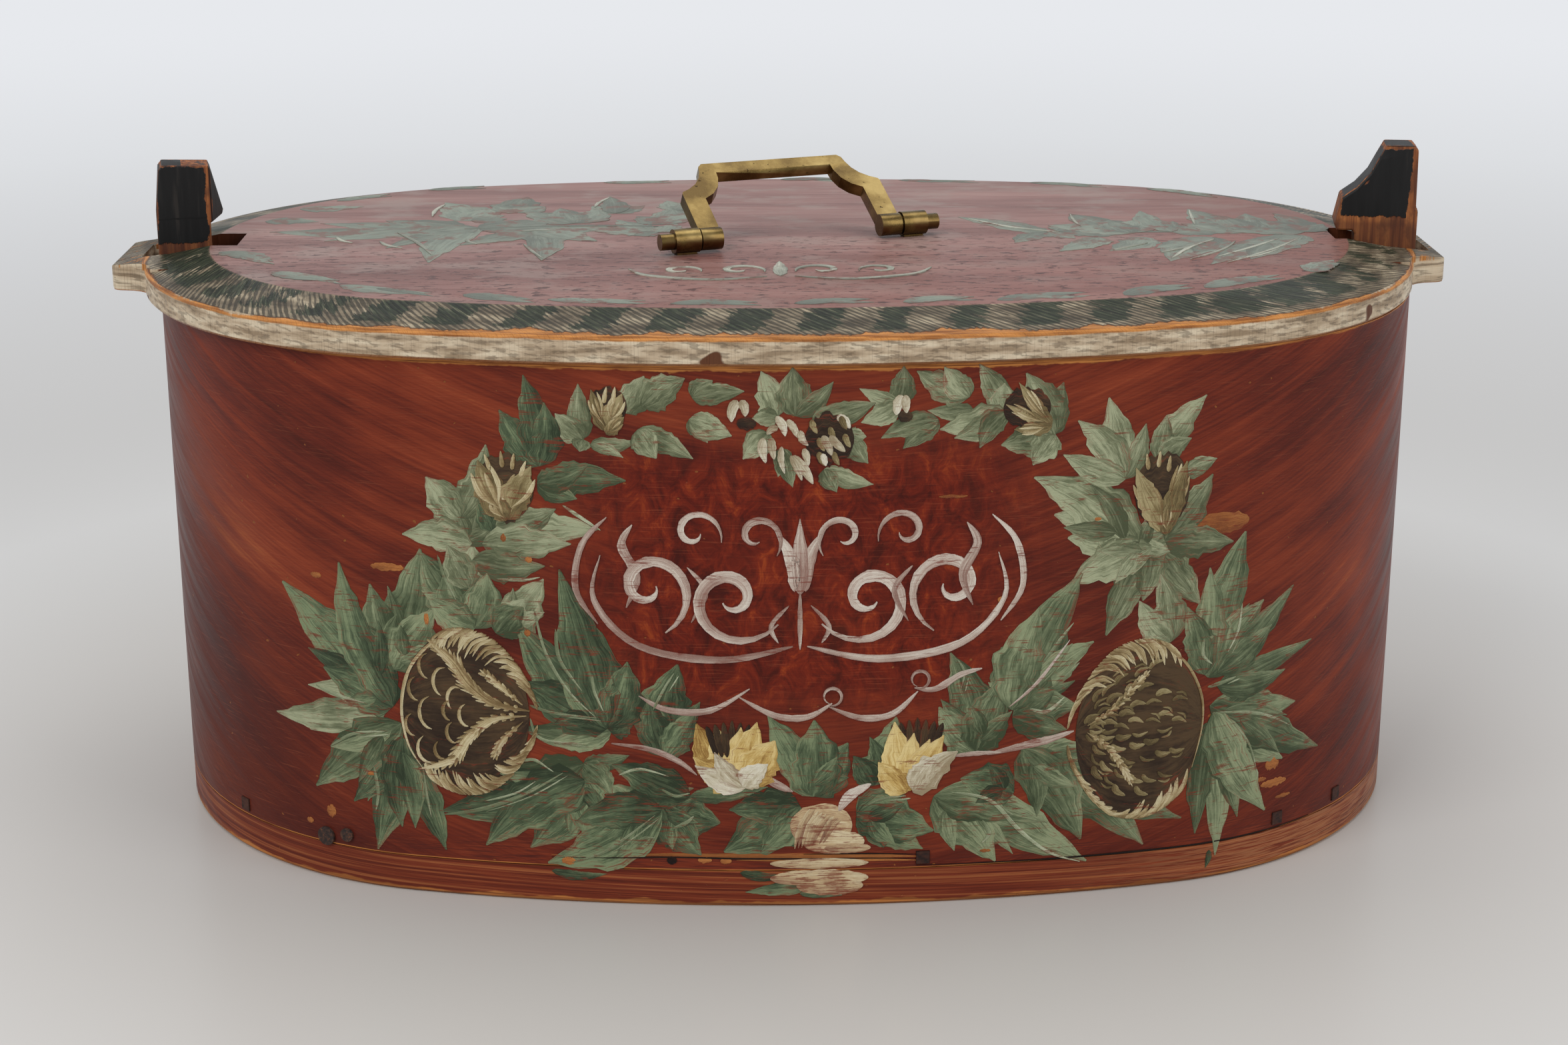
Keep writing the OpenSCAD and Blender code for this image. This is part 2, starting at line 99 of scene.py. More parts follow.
class Shader:
    """A material whose nodes come from short calls. Each call returns an output socket."""

    def __init__(self, name, **values):
        self.material = bpy.data.materials.new(name)
        self.material.use_nodes = True
        self.tree = self.material.node_tree
        self.tree.nodes.clear()
        self.surface = self.tree.nodes.new("ShaderNodeBsdfPrincipled")
        output = self.tree.nodes.new("ShaderNodeOutputMaterial")
        self.tree.links.new(self.surface.outputs[0], output.inputs["Surface"])
        for socket, value in values.items():
            self.set(self.surface.inputs[socket.replace("_", " ")], value)
        place = self.tree.nodes.new("ShaderNodeTexCoord")
        self.coords = place.outputs["Object"]
        self.uv = place.outputs["UV"]
        self.normal = place.outputs["Normal"]

    def set(self, socket, value):
        if isinstance(value, bpy.types.NodeSocket):
            self.tree.links.new(value, socket)
        else:
            socket.default_value = value

    def math(self, operation, a, b=0.0, c=0.0):
        node = self.tree.nodes.new("ShaderNodeMath")
        node.operation = operation
        for socket, value in zip(node.inputs, (a, b, c)):
            self.set(socket, value)
        return node.outputs[0]

    def add(self, *values):
        total = values[0]
        for value in values[1:]:
            total = self.math("ADD", total, value)
        return total

    def times(self, a, b):
        return self.math("MULTIPLY", a, b)

    def blend(self, factor, a, b):
        """A number between a and b."""
        node = self.tree.nodes.new("ShaderNodeMix")
        node.data_type = "FLOAT"
        for index, value in ((0, factor), (2, a), (3, b)):
            self.set(node.inputs[index], value)
        return node.outputs[0]

    def mix(self, factor, a, b):
        """A colour between a and b."""
        node = self.tree.nodes.new("ShaderNodeMix")
        node.data_type = "RGBA"
        for index, value in ((0, factor), (6, a), (7, b)):
            self.set(node.inputs[index], value)
        return node.outputs[2]

    def split(self, vector):
        node = self.tree.nodes.new("ShaderNodeSeparateXYZ")
        self.set(node.inputs[0], vector)
        return node.outputs[0], node.outputs[1], node.outputs[2]

    def join(self, x, y, z=0.0):
        node = self.tree.nodes.new("ShaderNodeCombineXYZ")
        for socket, value in zip(node.inputs, (x, y, z)):
            self.set(socket, value)
        return node.outputs[0]

    def noise(self, vector, scale, detail=3.0, rough=0.55, twist=0.0):
        """Noise with its own number of features per unit along each axis."""
        stretch = self.tree.nodes.new("ShaderNodeVectorMath")
        stretch.operation = "MULTIPLY"
        self.set(stretch.inputs[0], vector)
        self.set(stretch.inputs[1], scale)
        node = self.tree.nodes.new("ShaderNodeTexNoise")
        self.set(node.inputs["Vector"], stretch.outputs[0])
        settings = {"Scale": 1.0, "Detail": detail, "Roughness": rough, "Distortion": twist}
        for socket, value in settings.items():
            self.set(node.inputs[socket], value)
        return node.outputs[0]

    def step(self, value, low, high):
        """0 below low and 1 above high, smooth between them."""
        node = self.tree.nodes.new("ShaderNodeMapRange")
        node.interpolation_type = "SMOOTHSTEP"
        for index, number in enumerate((value, low, high, 0.0, 1.0)):
            self.set(node.inputs[index], number)
        return node.outputs[0]

    def ramp(self, factor, *stops):
        node = self.tree.nodes.new("ShaderNodeValToRGB")
        steps = node.color_ramp.elements
        while len(steps) < len(stops):
            steps.new(0.5)
        for step, (place, colour) in zip(steps, stops):
            step.position = place
            step.color = colour
        self.set(node.inputs[0], factor)
        return node.outputs[0]

    def plane(self, normal, offset):
        """The distance from a plane, on the side that its normal points to."""
        node = self.tree.nodes.new("ShaderNodeVectorMath")
        node.operation = "DOT_PRODUCT"
        self.set(node.inputs[0], self.coords)
        self.set(node.inputs[1], normal)
        return self.add(node.outputs["Value"], offset)

    def look(self, colour, height=None, depth=0.0, roughness=None):
        """Sets the colour, the relief of that depth and the roughness that varies."""
        self.set(self.surface.inputs["Base Color"], colour)
        if roughness is not None:
            self.set(self.surface.inputs["Roughness"], roughness)
        if height is not None:
            node = self.tree.nodes.new("ShaderNodeBump")
            self.set(node.inputs["Distance"], depth)
            self.set(node.inputs["Height"], height)
            self.set(self.surface.inputs["Normal"], node.outputs[0])
        return self.material


def oval_place(m, middle_x=0.0, over=0.0):
    """Nodes for the distance round an oval from the middle of its front, and out from its edge."""
    x, y, z = m.split(m.coords)
    x = m.add(x, -middle_x)
    far_x = m.math("ABSOLUTE", x)
    far_y = m.math("ABSOLUTE", y)
    end_x = m.add(far_x, -END_X)
    side_y = m.add(far_y, SIDE_Y)
    end_angle = m.math("ARCTAN2", far_y, end_x)
    on_end = m.math("LESS_THAN", end_angle, END_A)
    round_side = m.times(m.math("ARCTAN2", far_x, side_y), SIDE_R)
    round_end = m.add(m.times(end_angle, -END_R), TANGENT_S + END_R * END_A)
    s = m.times(m.blend(on_end, round_side, round_end), m.math("SIGN", x))
    reach_side = m.add(m.math("SQRT", m.add(m.times(far_x, far_x), m.times(side_y, side_y))), -SIDE_R)
    reach_end = m.add(m.math("SQRT", m.add(m.times(end_x, end_x), m.times(far_y, far_y))), -END_R)
    out = m.add(m.blend(on_end, reach_side, reach_end), -over)
    left_of_lap = m.math("LESS_THAN", x, LAP_X)
    half_round = m.blend(left_of_lap, HALF_ROUND, -HALF_ROUND)
    s = m.blend(m.math("GREATER_THAN", y, 0.0), s, m.math("SUBTRACT", half_round, s))
    return s, out, z


# Materials of the wooden parts
GRAIN_LEAN = 0.5
GRAIN_TURN = 80 * MM


def grained_paint(name, foot):
    """Red glaze combed over the side in strokes that fall to the middle, worn at rim and foot, with painted
    shade on the left end.
    """
    m = Shader(name, Specular_IOR_Level=0.12)
    s, out, z = oval_place(m)
    lean = m.times(m.math("SQRT", m.add(m.times(s, s), GRAIN_TURN ** 2)), GRAIN_LEAN)
    stroke = m.join(s, m.math("SUBTRACT", z, lean))
    flat = m.join(s, z)
    broad = m.noise(stroke, (5, 30, 1), 3, 0.6, 0.4)
    streak = m.noise(stroke, (14, 210, 1), 4, 0.65, 0.2)
    fine = m.noise(stroke, (60, 1300, 1), 2)
    fibre = m.noise(flat, (70, 2600, 1), 3, 0.6)
    cloud = m.noise(flat, (13, 17, 1), 3, 0.6)
    tone = m.add(m.times(broad, 0.24), m.times(streak, 0.22), m.times(fine, 0.12), m.times(cloud, 0.26),
                 m.times(fibre, 0.16))
    glaze = m.ramp(tone, (0.4, srgb(62, 24, 18)), (0.47, srgb(92, 35, 24)), (0.52, srgb(114, 46, 28)),
                   (0.57, srgb(131, 57, 34)), (0.66, srgb(166, 90, 52)))
    dark = m.times(m.math("SUBTRACT", 1.0, m.step(m.math("ABSOLUTE", s), 34 * MM, 80 * MM)),
                   m.times(m.step(z, 50 * MM, 74 * MM), m.step(z, 146 * MM, 124 * MM)))
    mottle = m.noise(flat, (150, 95, 1), 5, 0.7, 0.9)
    deep = m.ramp(mottle, (0.36, srgb(58, 16, 12)), (0.49, srgb(94, 27, 16)), (0.58, srgb(116, 37, 19)),
                  (0.68, srgb(148, 62, 26)))
    colour = m.mix(m.times(dark, 0.85), glaze, deep)
    # Painted shade: the left end of the side is darkened towards a dark red-brown, as if turned away from the
    # light.
    left_end_painted_shade = m.times(m.step(m.add(s, m.times(z, 0.6)), -84 * MM, -150 * MM), 0.62)
    colour = m.mix(left_end_painted_shade, colour, srgb(64, 25, 20))
    worn_low = m.step(z, 26 * MM, 12 * MM)
    colour = m.mix(m.times(worn_low, m.step(fibre, 0.45, 0.62)), colour, srgb(84, 36, 28))
    colour = m.mix(m.times(m.step(fibre, 0.56, 0.68), 0.34), colour, srgb(54, 22, 21))
    colour = m.mix(m.times(m.step(fibre, 0.42, 0.34), 0.2), colour, srgb(176, 92, 60))
    specks = m.noise(flat, (420, 520, 1), 1)
    colour = m.mix(m.step(specks, 0.765, 0.785), colour, BARE_DARK)
    if foot:
        rings = m.noise(m.join(s, m.add(z, m.times(s, 0.02))), (7, 900, 1), 3, 0.7)
        wood = m.ramp(rings, (0.4, srgb(88, 36, 24)), (0.52, srgb(126, 56, 34)), (0.62, srgb(164, 98, 58)))
        colour = m.mix(0.65, colour, wood)
        bared = m.times(m.step(s, 60 * MM, 150 * MM), m.step(fibre, 0.42, 0.56))
        colour = m.mix(m.times(bared, 0.6), colour, srgb(172, 116, 78))
        edge = m.add(m.times(m.noise(flat, (55, 1, 1), 3), 5.4 * MM), -1.2 * MM)
        worn = m.step(m.math("SUBTRACT", z, edge), 0.35 * MM, -0.25 * MM)
        worn = m.math("MAXIMUM", worn, m.math("LESS_THAN", out, -1 * MM))
        worn = m.math("MAXIMUM", worn, m.step(z, BAND_Z - 0.5 * MM, BAND_Z - 0.1 * MM))
        raw = m.ramp(rings, (0.42, srgb(116, 66, 36)), (0.6, srgb(184, 118, 62)))
        colour = m.mix(worn, colour, raw)
    else:
        near_middle = m.step(m.math("ABSOLUTE", s), 190 * MM, 40 * MM)
        edge = m.times(m.noise(flat, (70, 1, 1), 4, 0.7), m.blend(near_middle, 0.9 * MM, 3.2 * MM))
        worn = m.step(m.add(z, edge), RIM_Z - 0.15 * MM, RIM_Z + 0.35 * MM)
        inside = m.math("LESS_THAN", out, -WALL / 2)
        worn = m.math("MAXIMUM", worn, m.math("GREATER_THAN", z, RIM_Z - 0.05 * MM))
        worn = m.math("MAXIMUM", worn, m.step(z, BAND_Z + 0.4 * MM, BAND_Z + 0.1 * MM))
        raw = m.ramp(fibre, (0.4, BARE_DARK), (0.6, BARE))
        colour = m.mix(worn, colour, raw)
        inner = m.ramp(m.noise(flat, (8, 420, 1), 3), (0.4, srgb(118, 76, 50)), (0.62, srgb(158, 108, 74)))
        colour = m.mix(inside, colour, inner)
    roughness = m.blend(m.step(streak, 0.35, 0.7), 0.34, 0.5)
    height = m.add(m.times(fibre, 0.8), m.times(fine, 0.5), m.times(m.step(specks, 0.74, 0.78), -1.2))
    return m.look(colour, height, 0.07 * MM, roughness)


COMB_PITCH = 2.3 * MM


def lid_paint():
    """A red-brown field lightened to pinkish grey by painted sheen, a combed and dabbed bevel, and a pale
    upright edge.
    """
    m = Shader("lid_paint", Specular_IOR_Level=0.16)
    s, out, z = oval_place(m, LID_X, LID_OVER)
    inward = m.times(out, -1.0)
    facing = m.split(m.normal)[2]
    x, y, _ = m.split(m.coords)
    board = m.join(x, y)

    grain = m.noise(board, (5, 42, 1), 4, 0.6)
    fibre = m.noise(board, (28, 1500, 1), 2)
    pits = m.noise(board, (150, 900, 1), 3, 0.7)
    marks = m.noise(board, (190, 430, 1), 3, 0.6)
    # Painted sheen: the field's red-brown paint is lightened towards pinkish grey for the pale surroundings
    # that its gloss reflects.
    field = m.ramp(m.add(m.times(grain, 0.7), m.times(fibre, 0.3)), (0.38, srgb(104, 70, 64)),
                   (0.48, srgb(130, 96, 90)), (0.57, srgb(147, 115, 109)), (0.68, srgb(166, 140, 131)))
    # Painted sheen: paler grey patches of reflected light laid over the field.
    haze = m.noise(board, (34, 60, 1), 4, 0.65)
    field = m.mix(m.times(m.step(haze, 0.46, 0.64), 0.5), field, srgb(146, 132, 124))
    front_right = m.step(m.add(m.times(x, 0.4), m.times(y, -1.0)), -50 * MM, 130 * MM)
    field = m.mix(m.times(front_right, 0.45), field, srgb(122, 68, 56))
    field = m.mix(m.times(m.step(x, 100 * MM, 190 * MM), 0.5), field, srgb(108, 60, 46))
    cracked = m.math("MAXIMUM", m.step(pits, 0.6, 0.67), m.times(m.step(marks, 0.585, 0.63), 0.9))
    cracked = m.times(cracked, m.step(m.add(m.times(y, -1.0), m.times(haze, 90 * MM)), 0.0, 80 * MM))
    field = m.mix(m.times(cracked, 0.85), field, srgb(58, 38, 38))

    comb_along = m.math("SUBTRACT", s, inward)
    comb_across = m.add(s, inward)
    hairs = m.noise(m.join(comb_along, comb_across), (46, 620, 1), 3, 0.65, 0.3)
    wander = m.times(m.noise(m.join(comb_along, comb_across), (30, 90, 1), 3, 0.6), 4 * MM)
    comb = m.math("SINE", m.times(m.add(comb_across, wander), 2 * math.pi / COMB_PITCH))
    comb = m.step(m.add(comb, m.times(m.add(hairs, -0.5), 7.5)), -0.5, 0.5)
    dirt = m.noise(m.join(s, inward), (60, 160, 1), 3)
    pale = m.ramp(dirt, (0.36, srgb(84, 74, 60)), (0.52, srgb(124, 111, 91)), (0.66, srgb(164, 150, 126)))
    bevel = m.mix(m.times(comb, 0.82), pale, srgb(50, 45, 35))
    dab_pitch = 20.5 * MM
    wave = m.math("SINE", m.times(m.add(s, m.times(inward, -0.35)), 2 * math.pi / dab_pitch))
    ragged = m.noise(m.join(comb_along, comb_across), (70, 330, 1), 4, 0.7)
    varied = m.noise(m.join(s, 0.0), (11, 1, 1), 1)
    at_ends = m.step(m.math("ABSOLUTE", m.add(s, 15 * MM)), 85 * MM, 130 * MM)
    dabs = m.add(m.times(wave, m.blend(at_ends, 0.85, 0.45)), m.times(m.add(ragged, -0.5), 4.2),
                 m.times(m.add(varied, -0.5), 3.0), m.blend(at_ends, 0.12, 0.16))
    reach = m.add(m.times(ragged, 7 * MM), 1.2 * MM)
    in_bevel = m.times(m.step(m.math("SUBTRACT", inward, reach), -0.6 * MM, 0.8 * MM),
                       m.step(inward, BEVEL_W + 0.3 * MM, BEVEL_W - 0.9 * MM))
    dabs = m.times(m.step(dabs, -0.06, 0.18), in_bevel)
    green = m.ramp(m.noise(m.join(comb_along, comb_across), (60, 700, 1), 3, 0.65),
                   (0.38, srgb(25, 30, 23)), (0.5, srgb(38, 47, 33)), (0.6, srgb(58, 66, 48)),
                   (0.68, srgb(112, 106, 86)))
    green = m.mix(m.times(comb, 0.45), green, srgb(18, 20, 15))
    bevel = m.mix(m.times(dabs, 0.93), bevel, green)

    scratch = m.noise(m.join(m.add(s, m.times(z, 1.2)), z), (240, 900, 1), 3, 0.6)
    side = m.ramp(m.noise(m.join(s, z), (70, 420, 1), 3), (0.36, srgb(146, 126, 102)),
                  (0.5, srgb(184, 164, 138)), (0.64, srgb(208, 192, 166)))
    side = m.mix(m.times(m.step(scratch, 0.5, 0.6), 0.55), side, srgb(96, 82, 66))
    low = m.times(m.noise(m.join(s, 0.0), (45, 1, 1), 3), 2.4 * MM)
    chafed = m.step(m.math("SUBTRACT", z, low), lid_lo.z - 0.5 * MM, lid_lo.z - 1.1 * MM)
    side = m.mix(chafed, side, srgb(150, 92, 50))

    on_top = m.step(facing, 0.8, 0.93)
    colour = m.mix(on_top, side, bevel)
    colour = m.mix(m.times(m.step(inward, BEVEL_W - 0.35 * MM, BEVEL_W + 0.1 * MM), on_top), colour, field)
    near_middle = m.step(m.math("ABSOLUTE", s), 170 * MM, 60 * MM)
    wear = m.noise(m.join(s, 0.0), (34, 1, 1), 5, 0.7)
    wide = m.times(m.add(wear, -0.36), m.blend(near_middle, 7 * MM, 20 * MM))
    high = m.step(m.math("SUBTRACT", z, m.times(wear, 1.6 * MM)), EDGE_TOP - 2.2 * MM, EDGE_TOP - 1.7 * MM)
    worn = m.times(m.step(m.math("SUBTRACT", wide, inward), -0.25 * MM, 0.25 * MM), high)
    on_ear = m.step(inward, -0.4 * MM, -0.9 * MM)
    worn = m.times(worn, m.blend(on_ear, 1.0, m.step(ragged, 0.56, 0.62)))
    raw_grain = m.noise(m.join(s, inward), (60, 1300, 1), 2)
    raw = m.ramp(raw_grain, (0.38, srgb(132, 80, 38)), (0.6, srgb(190, 128, 68)))
    colour = m.mix(worn, colour, raw)
    line = m.times(m.step(m.math("ABSOLUTE", m.math("SUBTRACT", wide, inward)), 0.5 * MM, 0.2 * MM), on_top)
    colour = m.mix(m.times(line, 0.75), colour, srgb(70, 44, 28))
    chip = m.step(m.noise(m.join(s, z, 3.0), (42, 60, 1), 2), 0.69, 0.71)
    colour = m.mix(m.times(chip, m.math("SUBTRACT", 1.0, on_top)), colour, srgb(92, 56, 36))

    cut = m.times(m.step(inward, 3 * MM, 4 * MM), m.step(facing, 0.6, 0.4))
    colour = m.mix(cut, colour, m.ramp(fibre, (0.4, srgb(52, 24, 16)), (0.6, srgb(98, 52, 32))))
    below = m.step(facing, -0.5, -0.8)
    colour = m.mix(below, colour, m.ramp(grain, (0.4, srgb(128, 80, 50)), (0.62, srgb(172, 118, 76))))
    height = m.add(m.times(m.blend(m.step(inward, BEVEL_W - 1 * MM, BEVEL_W), comb, fibre), 1.0),
                   m.times(cracked, -0.8), m.times(worn, -1.2), m.times(chip, -1.0))
    return m.look(colour, height, 0.12 * MM, m.blend(m.step(grain, 0.35, 0.7), 0.36, 0.52))


def painted_post(name, x, turn, planes, joined, floor_z, shaded_crease=None):
    """Black paint worn to orange wood near each edge. A plane is its normal in the post's own
    frame, its distance from the post's axis or the lid's top, and its worn margin, in mm. A face
    isn't worn by its own plane, so a point there counts as a metre away from it."""
    m = Shader(name, Specular_IOR_Level=0.3)
    spin = Matrix.Rotation(turn, 3, "Z")
    origin = Vector((x, 0.0, LID_TOP))

    def room(normal, reach, margin):
        way = spin @ Vector(normal).normalized()
        distance = m.plane(way, reach * MM - way.dot(origin))
        on_face = m.math("LESS_THAN", distance, 0.25 * MM)
        return m.add(distance, on_face, -margin * MM)

    rooms = [room(*plane) for plane in planes]
    if joined:
        rooms.append(m.math("MAXIMUM", room(*joined[0]), room(*joined[1])))
    least = rooms[0]
    for other in rooms[1:]:
        least = m.math("MINIMUM", least, other)
    ragged = m.noise(m.coords, (520, 520, 300), 4, 0.65)
    patchy = m.noise(m.coords, (110, 110, 70), 2)
    least = m.add(least, m.times(m.add(ragged, -0.5), -2.4 * MM), m.times(m.add(patchy, -0.5), -3.0 * MM))
    above_floor = m.step(m.add(m.split(m.coords)[2], m.times(ragged, -3 * MM)), floor_z, floor_z + 0.3 * MM)
    black = m.times(m.step(least, -0.12 * MM, 0.12 * MM), above_floor)
    stripe = m.noise(m.coords, (620, 620, 26), 3, 0.65)
    wood = m.ramp(stripe, (0.34, srgb(72, 38, 22)), (0.5, srgb(124, 70, 37)), (0.66, srgb(164, 102, 54)))
    grime = m.step(m.noise(m.coords, (170, 170, 110), 4, 0.6), 0.47, 0.62)
    wood = m.mix(m.times(grime, 0.62), wood, srgb(72, 40, 26))
    low = m.step(m.split(m.coords)[2], LID_TOP + 5.5 * MM, LID_TOP + 3.5 * MM)
    wood = m.mix(m.times(low, 0.5), wood, srgb(74, 38, 24))
    brush = m.noise(m.coords, (420, 420, 40), 3, 0.6)
    paint = m.ramp(brush, (0.35, srgb(12, 11, 11)), (0.6, srgb(19, 18, 18)), (0.75, srgb(40, 36, 33)))
    # Painted shade: a darker line along the fold across the left head's front, where its two faces meet.
    if shaded_crease:
        off_shaded_crease = m.math("ABSOLUTE", m.add(m.split(m.coords)[2], m.times(ragged, 0.8 * MM), -shaded_crease))
        paint = m.mix(m.step(off_shaded_crease, 0.35 * MM, 0.1 * MM), paint, srgb(6, 5, 5))
    height = m.add(m.times(stripe, 0.5), m.times(black, 0.6))
    roughness = m.blend(black, 0.62, m.blend(brush, 0.38, 0.6))
    return m.look(m.mix(black, wood, paint), height, 0.15 * MM, roughness)


def plain_wood(name, dark, light, scale, roughness):
    m = Shader(name, Specular_IOR_Level=0.3)
    grain = m.noise(m.coords, scale, 3, 0.6)
    blotch = m.noise(m.coords, (160, 160, 160), 2)
    colour = m.ramp(m.add(m.times(grain, 0.7), m.times(blotch, 0.3)), (0.36, dark), (0.64, light))
    return m.look(colour, grain, 0.12 * MM, m.blend(blotch, roughness - 0.08, roughness + 0.1))


def brass_metal():
    m = Shader("brass_metal", Metallic=1.0)
    cloud = m.noise(m.coords, (85, 85, 85), 4, 0.55)
    fine = m.noise(m.coords, (1400, 1400, 1400), 2)
    z = m.split(m.coords)[2]
    colour = m.ramp(cloud, (0.34, srgb(84, 67, 38)), (0.5, srgb(118, 98, 58)), (0.64, srgb(150, 129, 82)))
    low = m.times(m.step(z, LID_TOP + 7 * MM, LID_TOP + 2.5 * MM), m.step(cloud, 0.44, 0.56))
    colour = m.mix(m.times(low, 0.8), colour, srgb(74, 42, 28))
    spots = m.step(m.noise(m.coords, (620, 620, 620), 2, 0.6), 0.68, 0.75)
    colour = m.mix(m.times(spots, 0.8), colour, srgb(52, 38, 24))
    roughness = m.add(m.times(fine, 0.12), m.times(cloud, 0.26), m.times(spots, 0.25), 0.1)
    return m.look(colour, m.add(fine, m.times(spots, -1.5)), 0.02 * MM, roughness)


def iron_metal():
    m = Shader("iron_metal", Metallic=0.25)
    rust = m.noise(m.coords, (900, 900, 900), 4, 0.65)
    colour = m.ramp(rust, (0.36, srgb(30, 22, 20)), (0.55, srgb(62, 42, 34)), (0.7, srgb(110, 66, 42)))
    return m.look(colour, rust, 0.3 * MM, m.blend(rust, 0.55, 0.9))


def brush_paint(name, dark, middle, light, wear, under=UNDERCOAT, dry=0.7, rib=0.0):
    """Oil colour laid in strokes along each patch, thin and broken at its edges and tip, and worn
    where the wood's fibres stand. A patch's whole number in u is its seed."""
    m = Shader(name, Specular_IOR_Level=0.18)
    run, across, _ = m.split(m.uv)
    along = m.math("FRACT", run)
    seed = m.math("FLOOR", run)
    off_middle = m.math("ABSOLUTE", m.add(across, -0.5))
    strokes = m.noise(m.join(along, across, seed), (2.2, 7, 1), 4, 0.7, 0.3)
    hairs = m.noise(m.join(along, across, seed), (3.5, 30, 1), 3, 0.65, 0.1)
    place = m.noise(m.coords, (95, 95, 95), 5, 0.65)
    fibre = m.noise(m.coords, (150, 150, 2400), 3, 0.65)
    shade = m.add(m.times(m.math("FRACT", m.times(seed, 0.37)), 0.13), m.times(along, 0.1),
                  m.times(across, 0.08), -0.155)
    tone = m.add(m.times(strokes, 0.4), m.times(hairs, 0.3), m.times(place, 0.3), shade)
    colour = m.ramp(tone, (0.4, dark), (0.5, middle), (0.6, light))
    if rib:
        colour = m.mix(m.times(m.step(off_middle, 0.06, 0.015), rib), colour, light)
    broken = m.add(m.times(off_middle, 1.0), m.times(m.math("POWER", along, 5.0), 0.25),
                   m.times(m.add(hairs, -0.5), 2.6), m.times(m.add(place, -0.5), 2.2))
    colour = m.mix(m.times(m.step(broken, 0.62, 0.92), dry), colour, under)
    rubbed = m.add(m.times(fibre, 0.5), m.times(m.noise(m.coords, (120, 120, 260), 5, 0.7), 0.5))
    colour = m.mix(m.times(m.step(rubbed, 0.6 - wear, 0.67 - wear), 0.75), colour, under)
    colour = m.mix(m.times(m.step(fibre, 0.55, 0.7), 0.25), colour, dark)
    return m.look(colour, m.add(fibre, m.times(hairs, 1.4)), 0.09 * MM, m.blend(place, 0.4, 0.6))


side_paint = grained_paint("side_paint", foot=False)
bottom_wood = grained_paint("bottom_wood", foot=True)
peg_wood = plain_wood("peg_wood", srgb(28, 15, 12), srgb(70, 38, 27), (500, 500, 900), 0.6)
root_lace = plain_wood("root_lace", srgb(118, 78, 46), srgb(188, 140, 92), (700, 700, 90), 0.6)
brass = brass_metal()
iron = iron_metal()
LEFT_HEAD = 24
RIGHT_HEAD = 28
HALF_T = POST_T / MM / 2
left_black = painted_post(
    "left_post_paint", -POST_X, LEFT_TURN,
    [((-1, 0, 0), 8, 0.3), ((1, 0, 0), 8.5, 1.3), ((0, 0, -1), LEFT_HEAD, 0.6),
     ((0, 1, 0), HALF_T, 0.5), ((0, -1, 0), HALF_T, 0.5)],
    None, LID_TOP - 1.5 * MM, LID_TOP + 8 * MM)
right_black = painted_post(
    "right_post_paint", POST_X, RIGHT_TURN,
    [((-1, 0, 0), 9.3, 3.0), ((0, 0, -1), RIGHT_HEAD, 1.5), ((1, 0, 0), 15.5, 2.2),
     ((0, 1, 0), HALF_T, 0.8), ((0, -1, 0), HALF_T, 0.8)],
    [((8.6, 0, -4.4), 13.81, 1.0), ((3.3, 0, -4.5), 17.66, 0.6)], LID_TOP + 4.5 * MM)

FINISH = {
    "side_band": side_paint,
    "seam_lacing_left": root_lace,
    "seam_lacing_right": root_lace,
    "bottom_board": bottom_wood,
    "bottom_pegs": peg_wood,
    "bottom_nails": iron,
    "post_left": left_black,
    "post_right": right_black,
    "post_peg_left": peg_wood,
    "post_peg_right": peg_wood,
    "lid_board": lid_paint(),
    "handle_eye_left": brass,
    "handle_eye_right": brass,
    "bail_handle": brass,
}
for node_name, material in FINISH.items():
    cad_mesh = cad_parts[node_name].data
    cad_mesh.materials.clear()
    cad_mesh.materials.append(material)


def soften(node_name, width, sides):
    """Rounds a CAD node's sharp edges for the eye."""
    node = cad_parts[node_name]
    weld = node.modifiers.new("weld", "WELD")
    weld.merge_threshold = 0.002 * MM
    bevel = node.modifiers.new("bevel", "BEVEL")
    bevel.width = width
    bevel.segments = sides
    bevel.limit_method = "ANGLE"
    bevel.angle_limit = math.radians(35)
    bevel.harden_normals = False


soften("bail_handle", 0.7 * MM, 3)
soften("post_left", 0.6 * MM, 2)
soften("post_right", 0.6 * MM, 2)


# Thin painted patches that follow the side or the lid
# How far a patch's underside lies in the wood, how much higher each next patch lies, how many
# patches before that starts again, and how many looks of brushwork a paint has
SUNK = 0.1 * MM
LAYER = 0.01 * MM
LAYERS = 12
SEEDS = 10
# Places across a patch, from one edge to the other
ACROSS = (-1.0, -0.5, 0.0, 0.5, 1.0)


def on_side(s, z, out):
    """A point on the side, s round from the middle of the front."""
    away = abs(s)
    if away <= TANGENT_S:
        turn = away / SIDE_R
        x = (SIDE_R + out) * math.sin(turn)
        y = SIDE_Y - (SIDE_R + out) * math.cos(turn)
    else:
        turn = math.pi / 2 - END_A + (away - TANGENT_S) / END_R
        x = END_X + (END_R + out) * math.sin(turn)
        y = -(END_R + out) * math.cos(turn)
    return Vector((math.copysign(x, s), y, z))


def on_lid(x, y, out):
    return Vector((x, y, LID_TOP + out))


